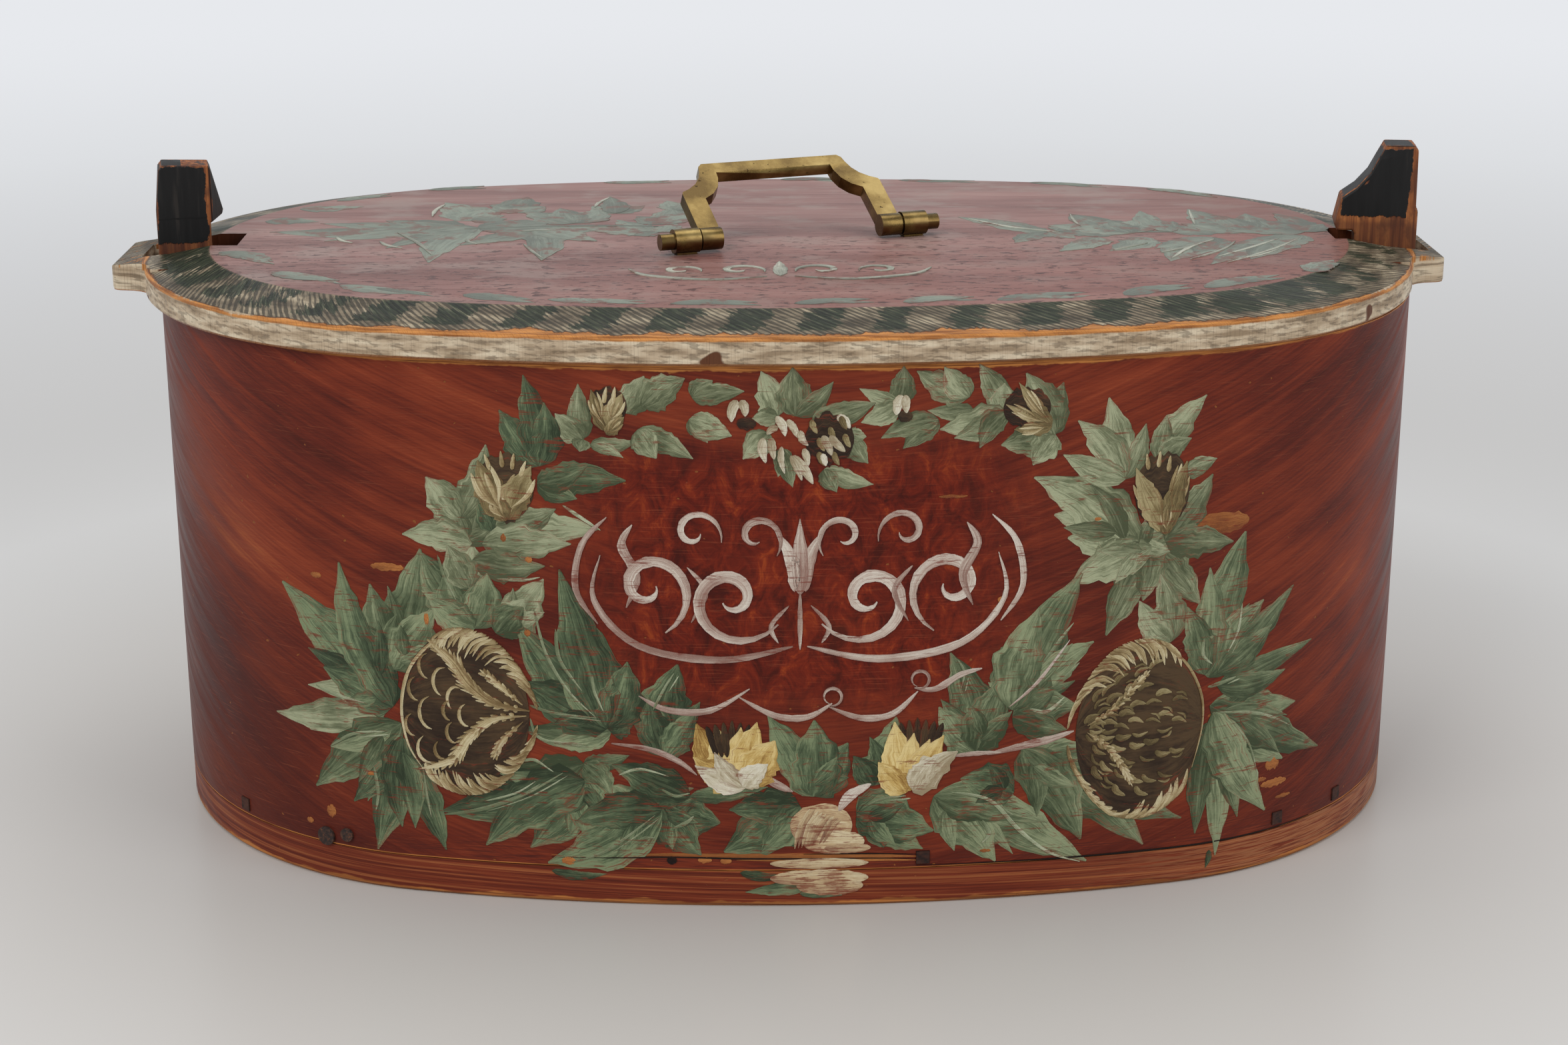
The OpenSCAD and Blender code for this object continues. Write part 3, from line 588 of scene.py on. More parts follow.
class Paint:
    """Thin closed patches on one surface, gathered into one mesh. Places are in mm."""

    def __init__(self, surface, lift):
        self.surface = surface
        self.lift = lift * MM
        self.points = []
        self.faces = []
        self.places = []
        self.count = 0

    def patch(self, rows):
        """Adds a closed sheet over rows of (a, b, u, v), with its seed added to u."""
        lift = self.lift + LAYER * (self.count % LAYERS)
        seed = rng.randrange(SEEDS)
        self.count += 1
        first = len(self.points)
        wide = len(rows[0])
        tall = len(rows)
        under = wide * tall
        for height in (lift, -SUNK):
            for row in rows:
                for a, b, u, v in row:
                    self.points.append(self.surface(a * MM, b * MM, height))
                    self.places.append((seed + 0.98 * u, v))

        def at(r, c):
            return first + r * wide + c

        for r in range(tall - 1):
            for c in range(wide - 1):
                quad = [at(r, c), at(r, c + 1), at(r + 1, c + 1), at(r + 1, c)]
                self.faces.append(quad)
                self.faces.append([i + under for i in reversed(quad)])
        rim = [at(0, c) for c in range(wide)] + [at(r, wide - 1) for r in range(1, tall)]
        rim += [at(tall - 1, c) for c in range(wide - 2, -1, -1)] + [at(r, 0) for r in range(tall - 2, 0, -1)]
        for i, j in zip(rim, rim[1:] + rim[:1]):
            self.faces.append([i, i + under, j + under, j])

    def piece(self, name, material, body, slot):
        mesh = bpy.data.meshes.new(name)
        mesh.from_pydata(self.points, [], self.faces)
        layer = mesh.uv_layers.new(name="UVMap")
        for loop in mesh.loops:
            layer.data[loop.index].uv = self.places[loop.vertex_index]
        shape = bmesh.new()
        shape.from_mesh(mesh)
        bmesh.ops.recalc_face_normals(shape, faces=shape.faces)
        shape.to_mesh(mesh)
        shape.free()
        mesh.shade_smooth()
        mesh.set_sharp_from_angle(angle=math.radians(40))
        mesh.materials.append(material)
        made = bpy.data.objects.new(name, mesh)
        bpy.context.scene.collection.objects.link(made)
        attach(made, body)
        return made


def square_to(run):
    return Vector((-run.y, run.x)).normalized()


# A leaf's greatest width before it is scaled, its teeth along each side, and where they start
FULLEST = 0.339
TEETH = 3.3
TOOTHED = 8
# How much fuller a leaf is laid than its width in the lists below
FULL_ON_SIDE = 1.12
FULL_ON_LID = 1.15
# A side leaf wider than this, in mm, has a lobe on each side
LOBED = 10


def leaf(paint, base, tip, width, bend=None, ragged=0.07):
    """A leaf that is widest a third of the way up and ends in a long point. A large one has teeth."""
    base = Vector(base)
    tooth = 0.26 if width > TOOTHED else 0.1
    starts = {-1: rng.random(), 0: 0.0, 1: rng.random()}
    run = Vector(tip) - base
    side = square_to(run)
    if bend is None:
        bend = rng.uniform(-0.08, 0.08)
    steps = 16
    rows = []
    for i in range(steps + 1):
        t = i / steps
        full = max(0.04, t ** 0.6 * (1 - t) ** 1.05 / FULLEST)
        spot = base + run * t + side * bend * run.length * math.sin(math.pi * t)
        row = []
        for v in ACROSS:
            start = starts[(v > 0) - (v < 0)]
            saw = 1 + tooth * ((TEETH * t + start) % 1.0 - 0.5)
            off = v * width / 2 * full * saw * (1 + rng.uniform(-ragged, ragged))
            row.append((spot.x + side.x * off, spot.y + side.y * off, t, 0.5 + v / 2))
        rows.append(row)
    paint.patch(rows)


def smooth_path(points, per=6):
    """A smooth curve through the points."""
    points = [Vector(p) for p in points]
    ends = [points[0]] + points + [points[-1]]
    path = []
    for a, b, c, d in zip(ends, ends[1:], ends[2:], ends[3:]):
        for i in range(per):
            t = i / per
            path.append((2 * b + (c - a) * t + (2 * a - 5 * b + 4 * c - d) * t ** 2
                         + (3 * b - a - 3 * c + d) * t ** 3) / 2)
    return path + [points[-1]]


def stroke(paint, points, width, fat=0.5, smooth=True):
    """A brush stroke along the points, thickest at the share fat of its length."""
    path = smooth_path(points) if smooth else [Vector(p) for p in points]
    power = math.log(0.5) / math.log(fat)
    rows = []
    for i, spot in enumerate(path):
        t = i / (len(path) - 1)
        side = square_to(path[min(i + 1, len(path) - 1)] - path[max(i - 1, 0)])
        half = width / 2 * max(0.12, math.sin(math.pi * t ** power) ** 0.75) * rng.uniform(0.88, 1.1)
        rows.append([(spot.x + side.x * half * v, spot.y + side.y * half * v, t, 0.5 + v / 2)
                     for v in (-1.0, 0.0, 1.0)])
    paint.patch(rows)


def blob(paint, middle, half_w, half_h, ragged=0.07):
    """A rounded patch."""
    steps = 20
    rows = []
    for i in range(steps + 1):
        a = -math.cos(math.pi * i / steps)
        full = max(0.04, math.sqrt(max(0.0, 1 - a * a)))
        row = []
        for v in ACROSS:
            off = v * full * half_h * (1 + rng.uniform(-ragged, ragged))
            row.append((middle[0] + a * half_w, middle[1] + off, i / steps, 0.5 + v / 2))
        rows.append(row)
    paint.patch(rows)


def spiral(paint, middle, start_r, end_r, start_a, end_a, width, fat=0.45):
    """A stroke that winds in from one radius to another, with angles in degrees."""
    steps = 30
    points = []
    for i in range(steps + 1):
        t = i / steps
        r = start_r * (end_r / start_r) ** t
        a = math.radians(start_a + (end_a - start_a) * t)
        points.append((middle[0] + r * math.cos(a), middle[1] + r * math.sin(a)))
    stroke(paint, points, width, fat, smooth=False)


# The wreath on the side. Each spray has the point that it springs from, and each leaf's tip
# and width, in mm round the side from the middle of the front and up from the table.
SAGE = [
    ((-58, 138), [(-59, 153.5, 6), (-65.5, 145, 7), (-59, 134.5, 5)]),
    ((-56, 136.5), [(-43.5, 137.5, 4.5), (-47, 133, 3)]),
    ((-46, 145.5), [(-41, 156, 8)]),
    ((-41.5, 147.5), [(-30, 155.5, 8.5)]),
    ((-43, 141), [(-28, 133, 6), (-38, 133, 7)]),
    ((-28, 150), [(-22.5, 155, 6), (-14, 152, 5.5)]),
    ((-29, 144), [(-17.5, 139.5, 7), (-24, 137.5, 5)]),
    ((-92, 106), [(-88, 121, 12)]),
    ((-93, 114), [(-85, 135.5, 9), (-102.5, 125.5, 10)]),
    ((-90, 107), [(-110, 108.5, 9)]),
    ((-83, 112), [(-54.5, 112.5, 10), (-66, 118, 8)]),
    ((-87, 107), [(-62, 108, 9)]),
    ((-90, 102), [(-69.5, 101.3, 8)]),
    ((-91, 94), [(-97, 106, 9), (-90, 107, 10)]),
    ((-82, 80), [(-70, 97.5, 11), (-75.5, 91.5, 9)]),
    ((57, 145), [(49.5, 158.5, 7), (56.5, 153, 7), (39, 140.5, 8), (43, 138, 7), (50, 135, 6)]),
    ((47, 149.5), [(32.5, 157, 8), (40, 158, 7)]),
    ((48, 146), [(35.5, 146, 4.5)]),
    ((38.5, 143.5), [(29, 135.5, 6), (23, 138.5, 6)]),
    ((28, 148), [(29, 158.5, 6.5), (17, 152.5, 4), (17.5, 143, 6)]),
    ((-5, 145), [(-9.5, 157.5, 8), (-12, 144.5, 5)]),
    ((0, 145), [(-1, 158.5, 9), (10, 154.5, 5)]),
    ((4, 143), [(21.5, 148.5, 7), (10, 141, 6)]),
    ((-7, 140), [(-14.5, 133, 7)]),
    ((-4, 136), [(-5, 128, 4), (-1, 125, 5)]),
    ((14, 140), [(19.5, 131.5, 6), (19, 139, 4)]),
    ((7.5, 130), [(21, 125.5, 5), (11, 123.5, 5)]),
    ((91.5, 124), [(86, 147.5, 9), (97, 139.5, 6), (77.5, 141.5, 9), (73.5, 132, 7)]),
    ((71, 138), [(62.5, 155.5, 10), (73, 152.5, 7), (56, 135.5, 9), (65, 129.5, 8)]),
    ((101, 129), [(114.5, 146.5, 8), (103, 141.5, 6), (110.5, 134.5, 6)]),
    ((109, 124), [(118.5, 128, 5)]),
    ((104, 105), [(117.5, 123.5, 9), (125, 103, 9)]),
    ((96, 104), [(65.5, 126, 14), (71.5, 115, 13), (75.5, 108, 12), (108, 110, 12)]),
    ((100, 104), [(76.5, 94.5, 11), (87.5, 78.5, 10), (115.5, 85.5, 10), (98, 88, 9)]),
    ((107, 75), [(103, 95.5, 9), (97, 88, 8)]),
    ((-117, 56), [(-156, 48.5, 10), (-143, 59.5, 6)]),
]
GREEN = [
    ((-71, 125), [(-46.5, 126.5, 9), (-60, 121, 6), (-57, 130.5, 7)]),
    ((-90, 82), [(-105, 103.5, 13), (-98, 99, 13), (-86, 98.5, 10), (-103, 90, 9)]),
    ((-84, 81), [(-76, 89, 10)]),
    ((-114, 68), [(-105, 104.5, 14), (-120.5, 93, 11), (-101.5, 87, 11)]),
    ((-113, 52), [(-142, 28.5, 13), (-134, 35, 9)]),
    ((-52, 53), [(-78, 53, 8), (-70, 49, 7)]),
    ((-44, 30), [(-29, 36.5, 7), (-53, 37, 9)]),
    ((-60, 43), [(-47, 46, 5), (-52, 33.5, 8), (-87, 38, 10)]),
    ((61, 58), [(80, 97.5, 14), (68, 88, 13), (57.5, 77, 11), (84, 77, 11)]),
    ((61, 56), [(80, 58, 11), (77, 51, 8)]),
    ((64, 46), [(112.5, 20.5, 12), (101, 13.5, 14), (96, 34, 12), (82, 17, 14), (80, 44, 8)]),
    ((119, 63), [(129, 105.5, 15), (136.5, 84, 12), (118, 96, 9)]),
    ((118, 64), [(111.5, 85, 9)]),
    ((122, 64), [(147.5, 86.5, 8), (140, 76, 8)]),
    ((121, 52), [(141, 18, 12), (147, 33, 11)]),
    ((51, 46), [(43, 76, 12), (40, 60, 9), (57.5, 67, 12)]),
    ((39, 33), [(84, 10, 13), (57, 12, 13), (72, 23, 10)]),
    ((122, 60), [(156.5, 68, 6), (146, 61, 7)]),
    ((120, 54), [(162.5, 33, 11), (151, 50, 11)]),
    ((119, 49), [(124, 7, 9), (117, 15, 8), (131, 18, 9)]),
]
DEEP = [
    ((-70, 130), [(-81, 145.5, 9), (-74, 155.5, 9), (-68.5, 148, 8)]),
    ((-84, 111), [(-88, 119, 6)]),
    ((-115, 57), [(-150.5, 89.5, 16), (-137, 66, 12), (-130, 98.5, 11), (-126, 82, 11)]),
    ((-113, 48), [(-122, 12, 12), (-129, 26, 10), (-114, 20, 9)]),
    ((-113, 43), [(-101, 14, 9), (-110, 20, 7)]),
    ((-53, 54), [
        (-65.5, 100.5, 12), (-78, 84, 15), (-77, 67, 13), (-57, 86, 12), (-47, 74, 12), (-45, 58, 9)]),
    ((-36.5, 46), [(-33, 73.5, 15), (-41, 63, 9), (-28, 60, 8)]),
    ((-60, 38), [(-101.5, 26, 15), (-89, 16.5, 14), (-76, 16.5, 13), (-60, 21, 12)]),
    ((-38, 30), [(-71, 12, 14), (-63, 25, 10), (-50, 13, 10), (-21.5, 26, 13), (-27, 16, 11)]),
    ((-30, 34), [(-8, 37, 4.5), (-52, 43, 10)]),
    ((5, 34), [(-8, 58.5, 10), (5, 57, 13), (14.5, 50, 11)]),
    ((1, 31), [(-20.5, 17, 14), (-19, 30, 10), (-10, 17, 10)]),
    ((17, 28), [(39, 22.5, 13), (31, 34.5, 8), (36, 17, 9)]),
    ((22, 37), [(28, 57.5, 11), (16, 46, 7)]),
    ((62, 33), [(46.5, 38, 12)]),
]
LOWEST = [
    ((-16, 10.6), (-3, 9.4), 3), ((3, 6), (-14.5, 4.6), 4), ((1, 4), (13, 3.4), 2.6),
    ((-70, 9.6), (-54, 9.4), 3), ((122, 9), (121, 3.5), 2),
]
# Pale strokes along the ribs and edges
LIGHTS = [
    [(-73, 89), (-70, 76), (-64, 65), (-56, 57)], [(-67, 83), (-66, 74), (-60, 65)],
    [(-57, 70), (-56.5, 65), (-54, 59)], [(-75, 60), (-68, 58), (-56, 57)],
    [(-75, 56), (-72, 50), (-60, 49)], [(-101, 25), (-90, 27.5), (-77, 33), (-66, 40)],
    [(-89, 30), (-80, 33), (-74, 37)], [(-78, 43), (-74, 43.5), (-70, 41)],
    [(-64, 12.5), (-55, 16), (-47, 22), (-40, 28)], [(-50, 40), (-44, 42), (-36, 40)],
    [(-38, 36), (-34, 34), (-30, 35)], [(-136, 42), (-128, 47), (-118, 49)],
    [(-140, 60), (-132, 58), (-124, 57)], [(-122, 38), (-121, 30), (-122, 24)],
    [(-107, 40), (-106, 30), (-105, 24)], [(44, 34), (55, 31), (64, 21), (73, 13.5), (82, 10)],
    [(62, 72), (63, 77), (65, 76)], [(69, 71), (74, 78), (78, 83)], [(72, 64), (77, 68), (80, 71)],
    [(66, 58), (71, 57), (76, 61)], [(127, 49), (134, 40), (138, 28)],
    [(122, 52), (134, 50), (142, 47), (149, 43)], [(45, 74), (47, 70), (46, 65)],
    [(57, 31), (59, 28), (62, 26)], [(119, 60), (124, 61), (128, 62)], [(117, 75), (117, 70), (120, 67)],
    [(129, 84), (128, 76), (125, 70)], [(-64, 119), (-58, 115), (-55, 113)],
    [(-83, 97), (-76, 97), (-71, 98)], [(-100, 103), (-98, 96), (-95, 90)],
    [(53, 25), (55, 21), (53, 18)], [(-35, 24), (-31, 26), (-29, 28)], [(-46, 19), (-43, 21), (-40, 21)],
    [(20, 31), (25, 33), (31, 33.5)], [(-40, 60), (-37, 66), (-34, 71)],
    [(24, 100), (22, 100), (20, 100)],
]


def oil(name, dark, middle, light, wear, **more):
    return brush_paint(name, srgb(*dark), srgb(*middle), srgb(*light), wear, **more)


sage_paint = oil("sage_paint", (74, 80, 56), (114, 119, 90), (160, 164, 132), 0.05, rib=0.2)
green_paint = oil("green_paint", (58, 68, 46), (94, 104, 76), (140, 148, 114), 0.06, rib=0.18)
deep_paint = oil("deep_paint", (44, 54, 37), (76, 89, 64), (122, 134, 100), 0.065, rib=0.18)
cream_paint = oil("cream_paint", (116, 94, 60), (172, 152, 110), (212, 200, 162), 0.05, dry=0.45)
white_paint = oil("white_paint", (150, 134, 106), (194, 184, 158), (220, 214, 194), 0.06, dry=0.5)
brown_paint = oil("brown_paint", (38, 27, 19), (54, 40, 28), (78, 60, 40), 0.02, dry=0.5)
olive_paint = oil("olive_paint", (84, 70, 44), (122, 106, 70), (164, 150, 110), 0.05, dry=0.4)
yellow_paint = oil("yellow_paint", (136, 100, 48), (190, 158, 92), (220, 198, 138), 0.05, dry=0.45)
rose_paint = oil("rose_paint", (146, 110, 86), (188, 162, 124), (212, 196, 160), 0.1, dry=0.6)
scroll_paint = oil("scroll_paint", (144, 112, 100), (184, 164, 150), (214, 204, 190), 0.06, dry=0.5)
light_paint = oil("light_paint", (104, 114, 84), (142, 150, 118), (190, 196, 166), 0.08, dry=0.6)

sage = Paint(on_side, 0.03)
green = Paint(on_side, 0.045)
deep = Paint(on_side, 0.06)
for paint, sprays in ((deep, DEEP), (green, GREEN), (sage, SAGE)):
    for base, leaves in sprays:
        for tip_s, tip_z, width in leaves:
            leaf(paint, base, (tip_s, tip_z), width * FULL_ON_SIDE)
            run = Vector((tip_s, tip_z)) - Vector(base)
            if width > LOBED:
                for way in (-1, 1):
                    foot = Vector(base) + run * rng.uniform(0.1, 0.25)
                    out = Vector(base) + run * rng.uniform(0.5, 0.66) + square_to(run) * way * width * 0.5
                    leaf(paint, foot, out, width * 0.42)
for base, tip, width in LOWEST:
    leaf(deep, base, tip, width)
for paint, name, material in ((sage, "leaves_sage", sage_paint), (green, "leaves_green", green_paint),
                              (deep, "leaves_deep", deep_paint)):
    paint.piece(name, material, "box", "side_paint")
lights = Paint(on_side, 0.17)
for points in LIGHTS:
    stroke(lights, points, rng.uniform(0.6, 1.2), 0.4)
    if rng.random() < 0.5:
        stroke(lights, [(s + 1.3, z - 0.8) for s, z in points[1:]], 0.4, 0.6)
lights.piece("leaf_lights", light_paint, "box", "side_paint")

# Two large blooms, with brown hearts in feathered cream
ground = Paint(on_side, 0.15)
olive = Paint(on_side, 0.26)
cream = Paint(on_side, 0.3)
white = Paint(on_side, 0.29)
yellow = Paint(on_side, 0.18)


def feather(paint, points, width, barb):
    """A plume along the points, with barbs that lean to its far end."""
    path = smooth_path(points, 5)
    stroke(paint, points, width, 0.55)
    for i in range(2, len(path) - 2):
        run = (path[i + 1] - path[i - 1]).normalized()
        share = math.sin(math.pi * i / len(path))
        for way in (-1, 1):
            length = barb * share * rng.uniform(0.7, 1.15)
            start = path[i] + square_to(run) * way * width * 0.2
            end = start + run * length + square_to(run) * way * length * 0.42
            stroke(paint, [start, (start + end) / 2 + run * 0.3, end], 0.9, 0.35)


def bloom_rim(middle, half_w, half_h, way, spans):
    """Short strokes laid like fur round a bloom that points the way given. Each span has its
    first and last angle from that point, and its depth as a share of the bloom."""
    def at(angle, share):
        a = math.radians(angle)
        point = 0.1 * max(0.0, math.cos(a)) ** 8
        return (middle[0] + way * half_w * share * (math.cos(a) + point),
                middle[1] + half_h * share * math.sin(a))

    for start, end, depth in spans:
        count = int(abs(end - start) / 2.6)
        back = math.copysign(1.0, end - start)
        for i in range(count):
            angle = start + (end - start) * (i + rng.random()) / count
            fade = min(1.0, 0.35 + 2.2 * min(i, count - i) / count)
            deep_in = 1.0 - depth * fade * rng.uniform(0.55, 1.0)
            lean = rng.uniform(14, 24) * back
            halfway = at(angle + lean * 0.6, (1 + deep_in) / 2 + 0.02)
            hair = [at(angle, 1.0), halfway, at(angle + lean, deep_in)]
            stroke(cream, hair, rng.uniform(0.8, 1.5), 0.4)


def crescents(paint, places):
    """Scale edges, each with its middle, radius and the turn that it opens to."""
    for x, z, r, turn in places:
        points = [(x + r * 0.75 * math.cos(math.radians(turn + a)), z + r * math.sin(math.radians(turn + a)))
                  for a in (95, 130, 165, 200, 235, 262)]
        stroke(paint, points, 1.0, 0.5)


LEFT_BLOOM = (-93.8, 56.8)
blob(ground, LEFT_BLOOM, 18.6, 24.4, 0.02)
bloom_rim(LEFT_BLOOM, 19.2, 25.2, 1, [(4, 104, 0.36), (-4, -118, 0.27)])
stroke(cream, [(-96, 81), (-104, 76), (-110, 68), (-112.5, 57), (-111, 46), (-107, 39)], 1.0, 0.35)
feather(cream, [(-75, 58.3), (-85, 60), (-92, 65), (-97, 72), (-104, 78)], 3.0, 4.6)
feather(cream, [(-76, 56.8), (-86, 55), (-93, 49), (-98, 42), (-108, 38.5)], 2.4, 4.2)
feather(cream, [(-77, 60), (-83, 65), (-89, 70)], 1.4, 2.6)
feather(cream, [(-77, 55), (-83, 49), (-86, 43)], 1.2, 2.4)
crescents(cream, [(-104, 70, 3.8, 0), (-99.5, 65.5, 4.4, -12), (-107.5, 63, 3.6, 8), (-96, 60.5, 3.8, -30),
                  (-103.5, 56, 5.0, 5), (-98, 57, 3.0, 0), (-93, 56, 3.4, 10), (-97, 50.5, 3.2, 12),
                  (-105, 45, 4.2, 20), (-101, 45, 2.8, 25), (-109, 52, 3.4, 10)])

RIGHT_BLOOM = (98.6, 49.3)
blob(ground, RIGHT_BLOOM, 19.0, 26.6, 0.02)
bloom_rim(RIGHT_BLOOM, 19.6, 27.4, -1, [(4, 112, 0.34), (-6, -60, 0.1), (-58, -128, 0.2)])
RIGHT_TIP = Vector((80.5, 51))
for row in range(8):
    for ray in range(-5, 6):
        angle = math.radians(ray * 13 + 6.5 * (row % 2) + rng.uniform(-3, 3))
        way = Vector((math.cos(angle), 1.15 * math.sin(angle)))
        spot = RIGHT_TIP + way * (5 + row * 4.2 + rng.uniform(-1, 1))
        away = Vector(((spot.x - RIGHT_BLOOM[0]) / 17.0, (spot.y - RIGHT_BLOOM[1]) / 24.0))
        if away.length < 0.9:
            lean = square_to(way) * (1.6 if ray >= 0 else -1.6)
            dab = [spot - way * 2.2, spot + lean * 0.3, spot + way * 2.4 - lean * 0.6]
            stroke(olive, dab, rng.uniform(0.9, 2.1), 0.4)
            if rng.random() < 0.5:
                scale_edge = [spot + way * 2.2, spot + way * 1.4 + lean, spot - way * 0.6 + lean * 1.4]
                stroke(olive, scale_edge, 0.7, 0.4)
feather(cream, [(83, 51.8), (90, 56), (96, 62), (101, 67)], 1.1, 2.6)
feather(cream, [(83, 49.6), (89, 45), (94, 38), (97, 32)], 1.1, 2.4)
stroke(cream, [(104, 75), (112, 68), (117, 58), (117.6, 48), (115, 36)], 0.8, 0.3)


# Thistles and buds, with ragged petals round a brown heart
def bud(heart, petals, flames):
    x, z, half_w, half_h = heart
    blob(ground, (x, z), half_w, half_h, 0.12)
    for base_s, base_z, tip_s, tip_z, width in petals:
        leaf(olive, (base_s, base_z), (tip_s, tip_z), width, 0.02, 0.16)
        run = Vector((tip_s - base_s, tip_z - base_z))
        for share in (-0.3, -0.05, 0.2, 0.36):
            start = Vector((base_s, base_z)) + run * rng.uniform(0.08, 0.3)
            drift = square_to(run) * width * share
            end = start + run * rng.uniform(0.5, 0.66) + drift
            stroke(cream, [start, start + run * 0.3 + drift, end], width * 0.17, 0.6)
    for x, z, lean in flames:
        stroke(cream, [(x, z - 2.2), (x + lean * 0.4, z), (x + lean, z + 2.4)], 1.3, 0.35)


# Each has its heart, the foot, tip and width of each petal, and each flame's middle and lean
BUDS = [
    ((-80, 123.5, 8, 9.4),
     [(-80.5, 114.5, -87.5, 131, 9), (-80, 114.5, -72.5, 130, 8.5), (-80, 114, -83.5, 122, 6)],
     [(-84, 130.5, -1.5), (-80.5, 131.5, -0.4), (-77.8, 131, 0.6), (-75.5, 129, 1.6)]),
    ((102.5, 120, 8, 11),
     [(104, 108, 94.5, 127, 7.5), (104, 108, 109.5, 128, 6.5), (104, 107, 104, 116, 4)],
     [(98, 128.5, -0.5), (101, 129, 0.4), (104, 127.5, 0.4), (107, 125, 0.8), (97, 121, -0.6),
      (106, 118, 0.8)]),
    ((-51, 147.5, 5.2, 5.2),
     [(-51.5, 140.5, -55.5, 152, 4.6), (-51, 142, -47, 151, 5.4), (-51.5, 139.5, -46.6, 144.5, 4)],
     [(-52, 150.5, 0.8), (-49.5, 150.5, 0.6)]),
    ((63, 145.8, 6.6, 5.8),
     [(70, 140.8, 60.5, 153, 3.8), (70, 140.5, 57, 147, 3.4), (70, 140.2, 59.5, 139.8, 4)],
     []),
]
for heart, petals, flames in BUDS:
    bud(heart, petals, flames)
for x, z, half_w, half_h in ((9, 138.5, 6.6, 7), (-13.5, 143, 2.6, 1.8), (29.5, 144.5, 2, 1.6)):
    blob(ground, (x, z), half_w, half_h, 0.16)
for x, z in ((4, 142), (6, 137), (12, 143), (13, 138), (10, 133), (6, 133), (9, 140)):
    stroke(olive, [(x, z + 2), (x + 0.6, z), (x + 1.6, z - 1.8)], 1.8, 0.4)
WHITES = [
    (-5.5, 145, -3, 139.5, 2.4), (-2.5, 144, 0.5, 139, 2.2), (1, 141, 3.2, 136.8, 2.2),
    (-9, 139, -8.3, 132, 2.6), (-6.8, 139, -6, 133, 2.4), (-4, 136.5, -3.2, 129, 1.8),
    (-1, 134, 4.5, 126, 2.8), (-1.5, 134, 1.5, 127, 2.2), (2, 136, 3.2, 131, 2),
    (7, 139.5, 9.5, 134, 2.4), (9, 139.5, 13.2, 135, 2.4), (7, 134.5, 8, 131, 1.8),
    (11, 145, 14.5, 141.5, 2.6), (-5, 142, -8, 140, 2), (-16, 149.5, -17.5, 143.5, 3),
    (-15, 149.5, -13.8, 145, 2.6), (28.5, 150.5, 27, 145, 3), (29.5, 150.5, 29.8, 145.5, 2.6),
]
for top_s, top_z, end_s, end_z, width in WHITES:
    bow = square_to(Vector((end_s - top_s, end_z - top_z))) * rng.uniform(-0.7, 0.7)
    between = Vector(((top_s + end_s) / 2, (top_z + end_z) / 2)) + bow
    stroke(white, [(top_s, top_z), between, (end_s, end_z)], width, 0.4)

for middle in (-18, 34):
    for x in range(-6, 7, 2):
        fleck = [(middle + x * 0.7, 46), (middle + x, 52), (middle + x * 1.2, 57 - abs(x) * 0.3)]
        stroke(ground, fleck, 2.2, 0.45)
YELLOWS = [
    (-19, 38, -28, 56, 11), (-18, 37.5, -22, 54.5, 10), (-16, 37.5, -15.5, 55, 9),
    (-15, 37.5, -11, 56.5, 10), (-14, 37.5, -6, 51, 12), (-16, 37, -29, 46, 9), (31, 34.5, 27.5, 56, 10),
    (32, 35, 33, 52.5, 8), (33, 35, 37.5, 50.5, 8), (33, 35, 41.5, 51.5, 8), (31, 34.5, 23, 44, 8),
]
for base_s, base_z, tip_s, tip_z, width in YELLOWS:
    leaf(yellow, (base_s, base_z), (tip_s, tip_z), width, 0.03, 0.1)
SEPALS = [
    (-14, 37, -28.5, 43.5, 7), (-15, 37, -23, 47.5, 6), (-15, 37, -8, 44, 7), (33, 34.5, 45.5, 46.5, 9),
    (33, 35, 40, 45.5, 7),
]
for base_s, base_z, tip_s, tip_z, width in SEPALS:
    leaf(white, (base_s, base_z), (tip_s, tip_z), width, 0.08, 0.12)

# A pale rose at the bottom, split by the join between the side and the bottom board
rose = Paint(on_side, 0.17)
ROSE = [
    (7, 25, 8.8, 6.8, 0.06), (10.5, 20, 8.8, 3.6, 0.06), (14.5, 18, 6.6, 1.5, 0.06),
    (6.5, 13.4, 14, 1.6, 0.06),
    (6.5, 8.8, 14, 2.6, 0.1), (9.5, 6.4, 9.5, 2.8, 0.1),
]
for x, z, half_w, half_h, ragged in ROSE:
    blob(rose, (x, z), half_w, half_h, ragged)
for i in range(9):
    stroke(rose, [(-0.5 + i, 18 + i * 0.2), (1 + i * 1.2, 25), (4 + i * 1.1, 30.5 - i * 0.45)], 1.3, 0.5)

# Stems, and a mirrored scroll with a tulip in the middle
scroll = Paint(on_side, 0.2)
STEMS = [
    ([(-52, 49.5), (-41, 48), (-33, 44.5), (-28, 40.5)], 1.7),
    ([(-10, 41), (-6, 38), (-1, 35.5)], 2.2),
    ([(12, 29.5), (15, 34), (21, 37.5)], 3.0),
    ([(54, 45), (64, 47), (72, 48.5), (79, 50.5)], 2.4),
    ([(44, 45), (50, 45.5), (58, 45.5)], 1.4),
    ([(60, 59), (68, 66), (77, 78)], 0.9),
]
for points, width in STEMS:
    stroke(scroll, points, width, 0.5)
SCROLL_S = 1
SCROLL_Z = 94


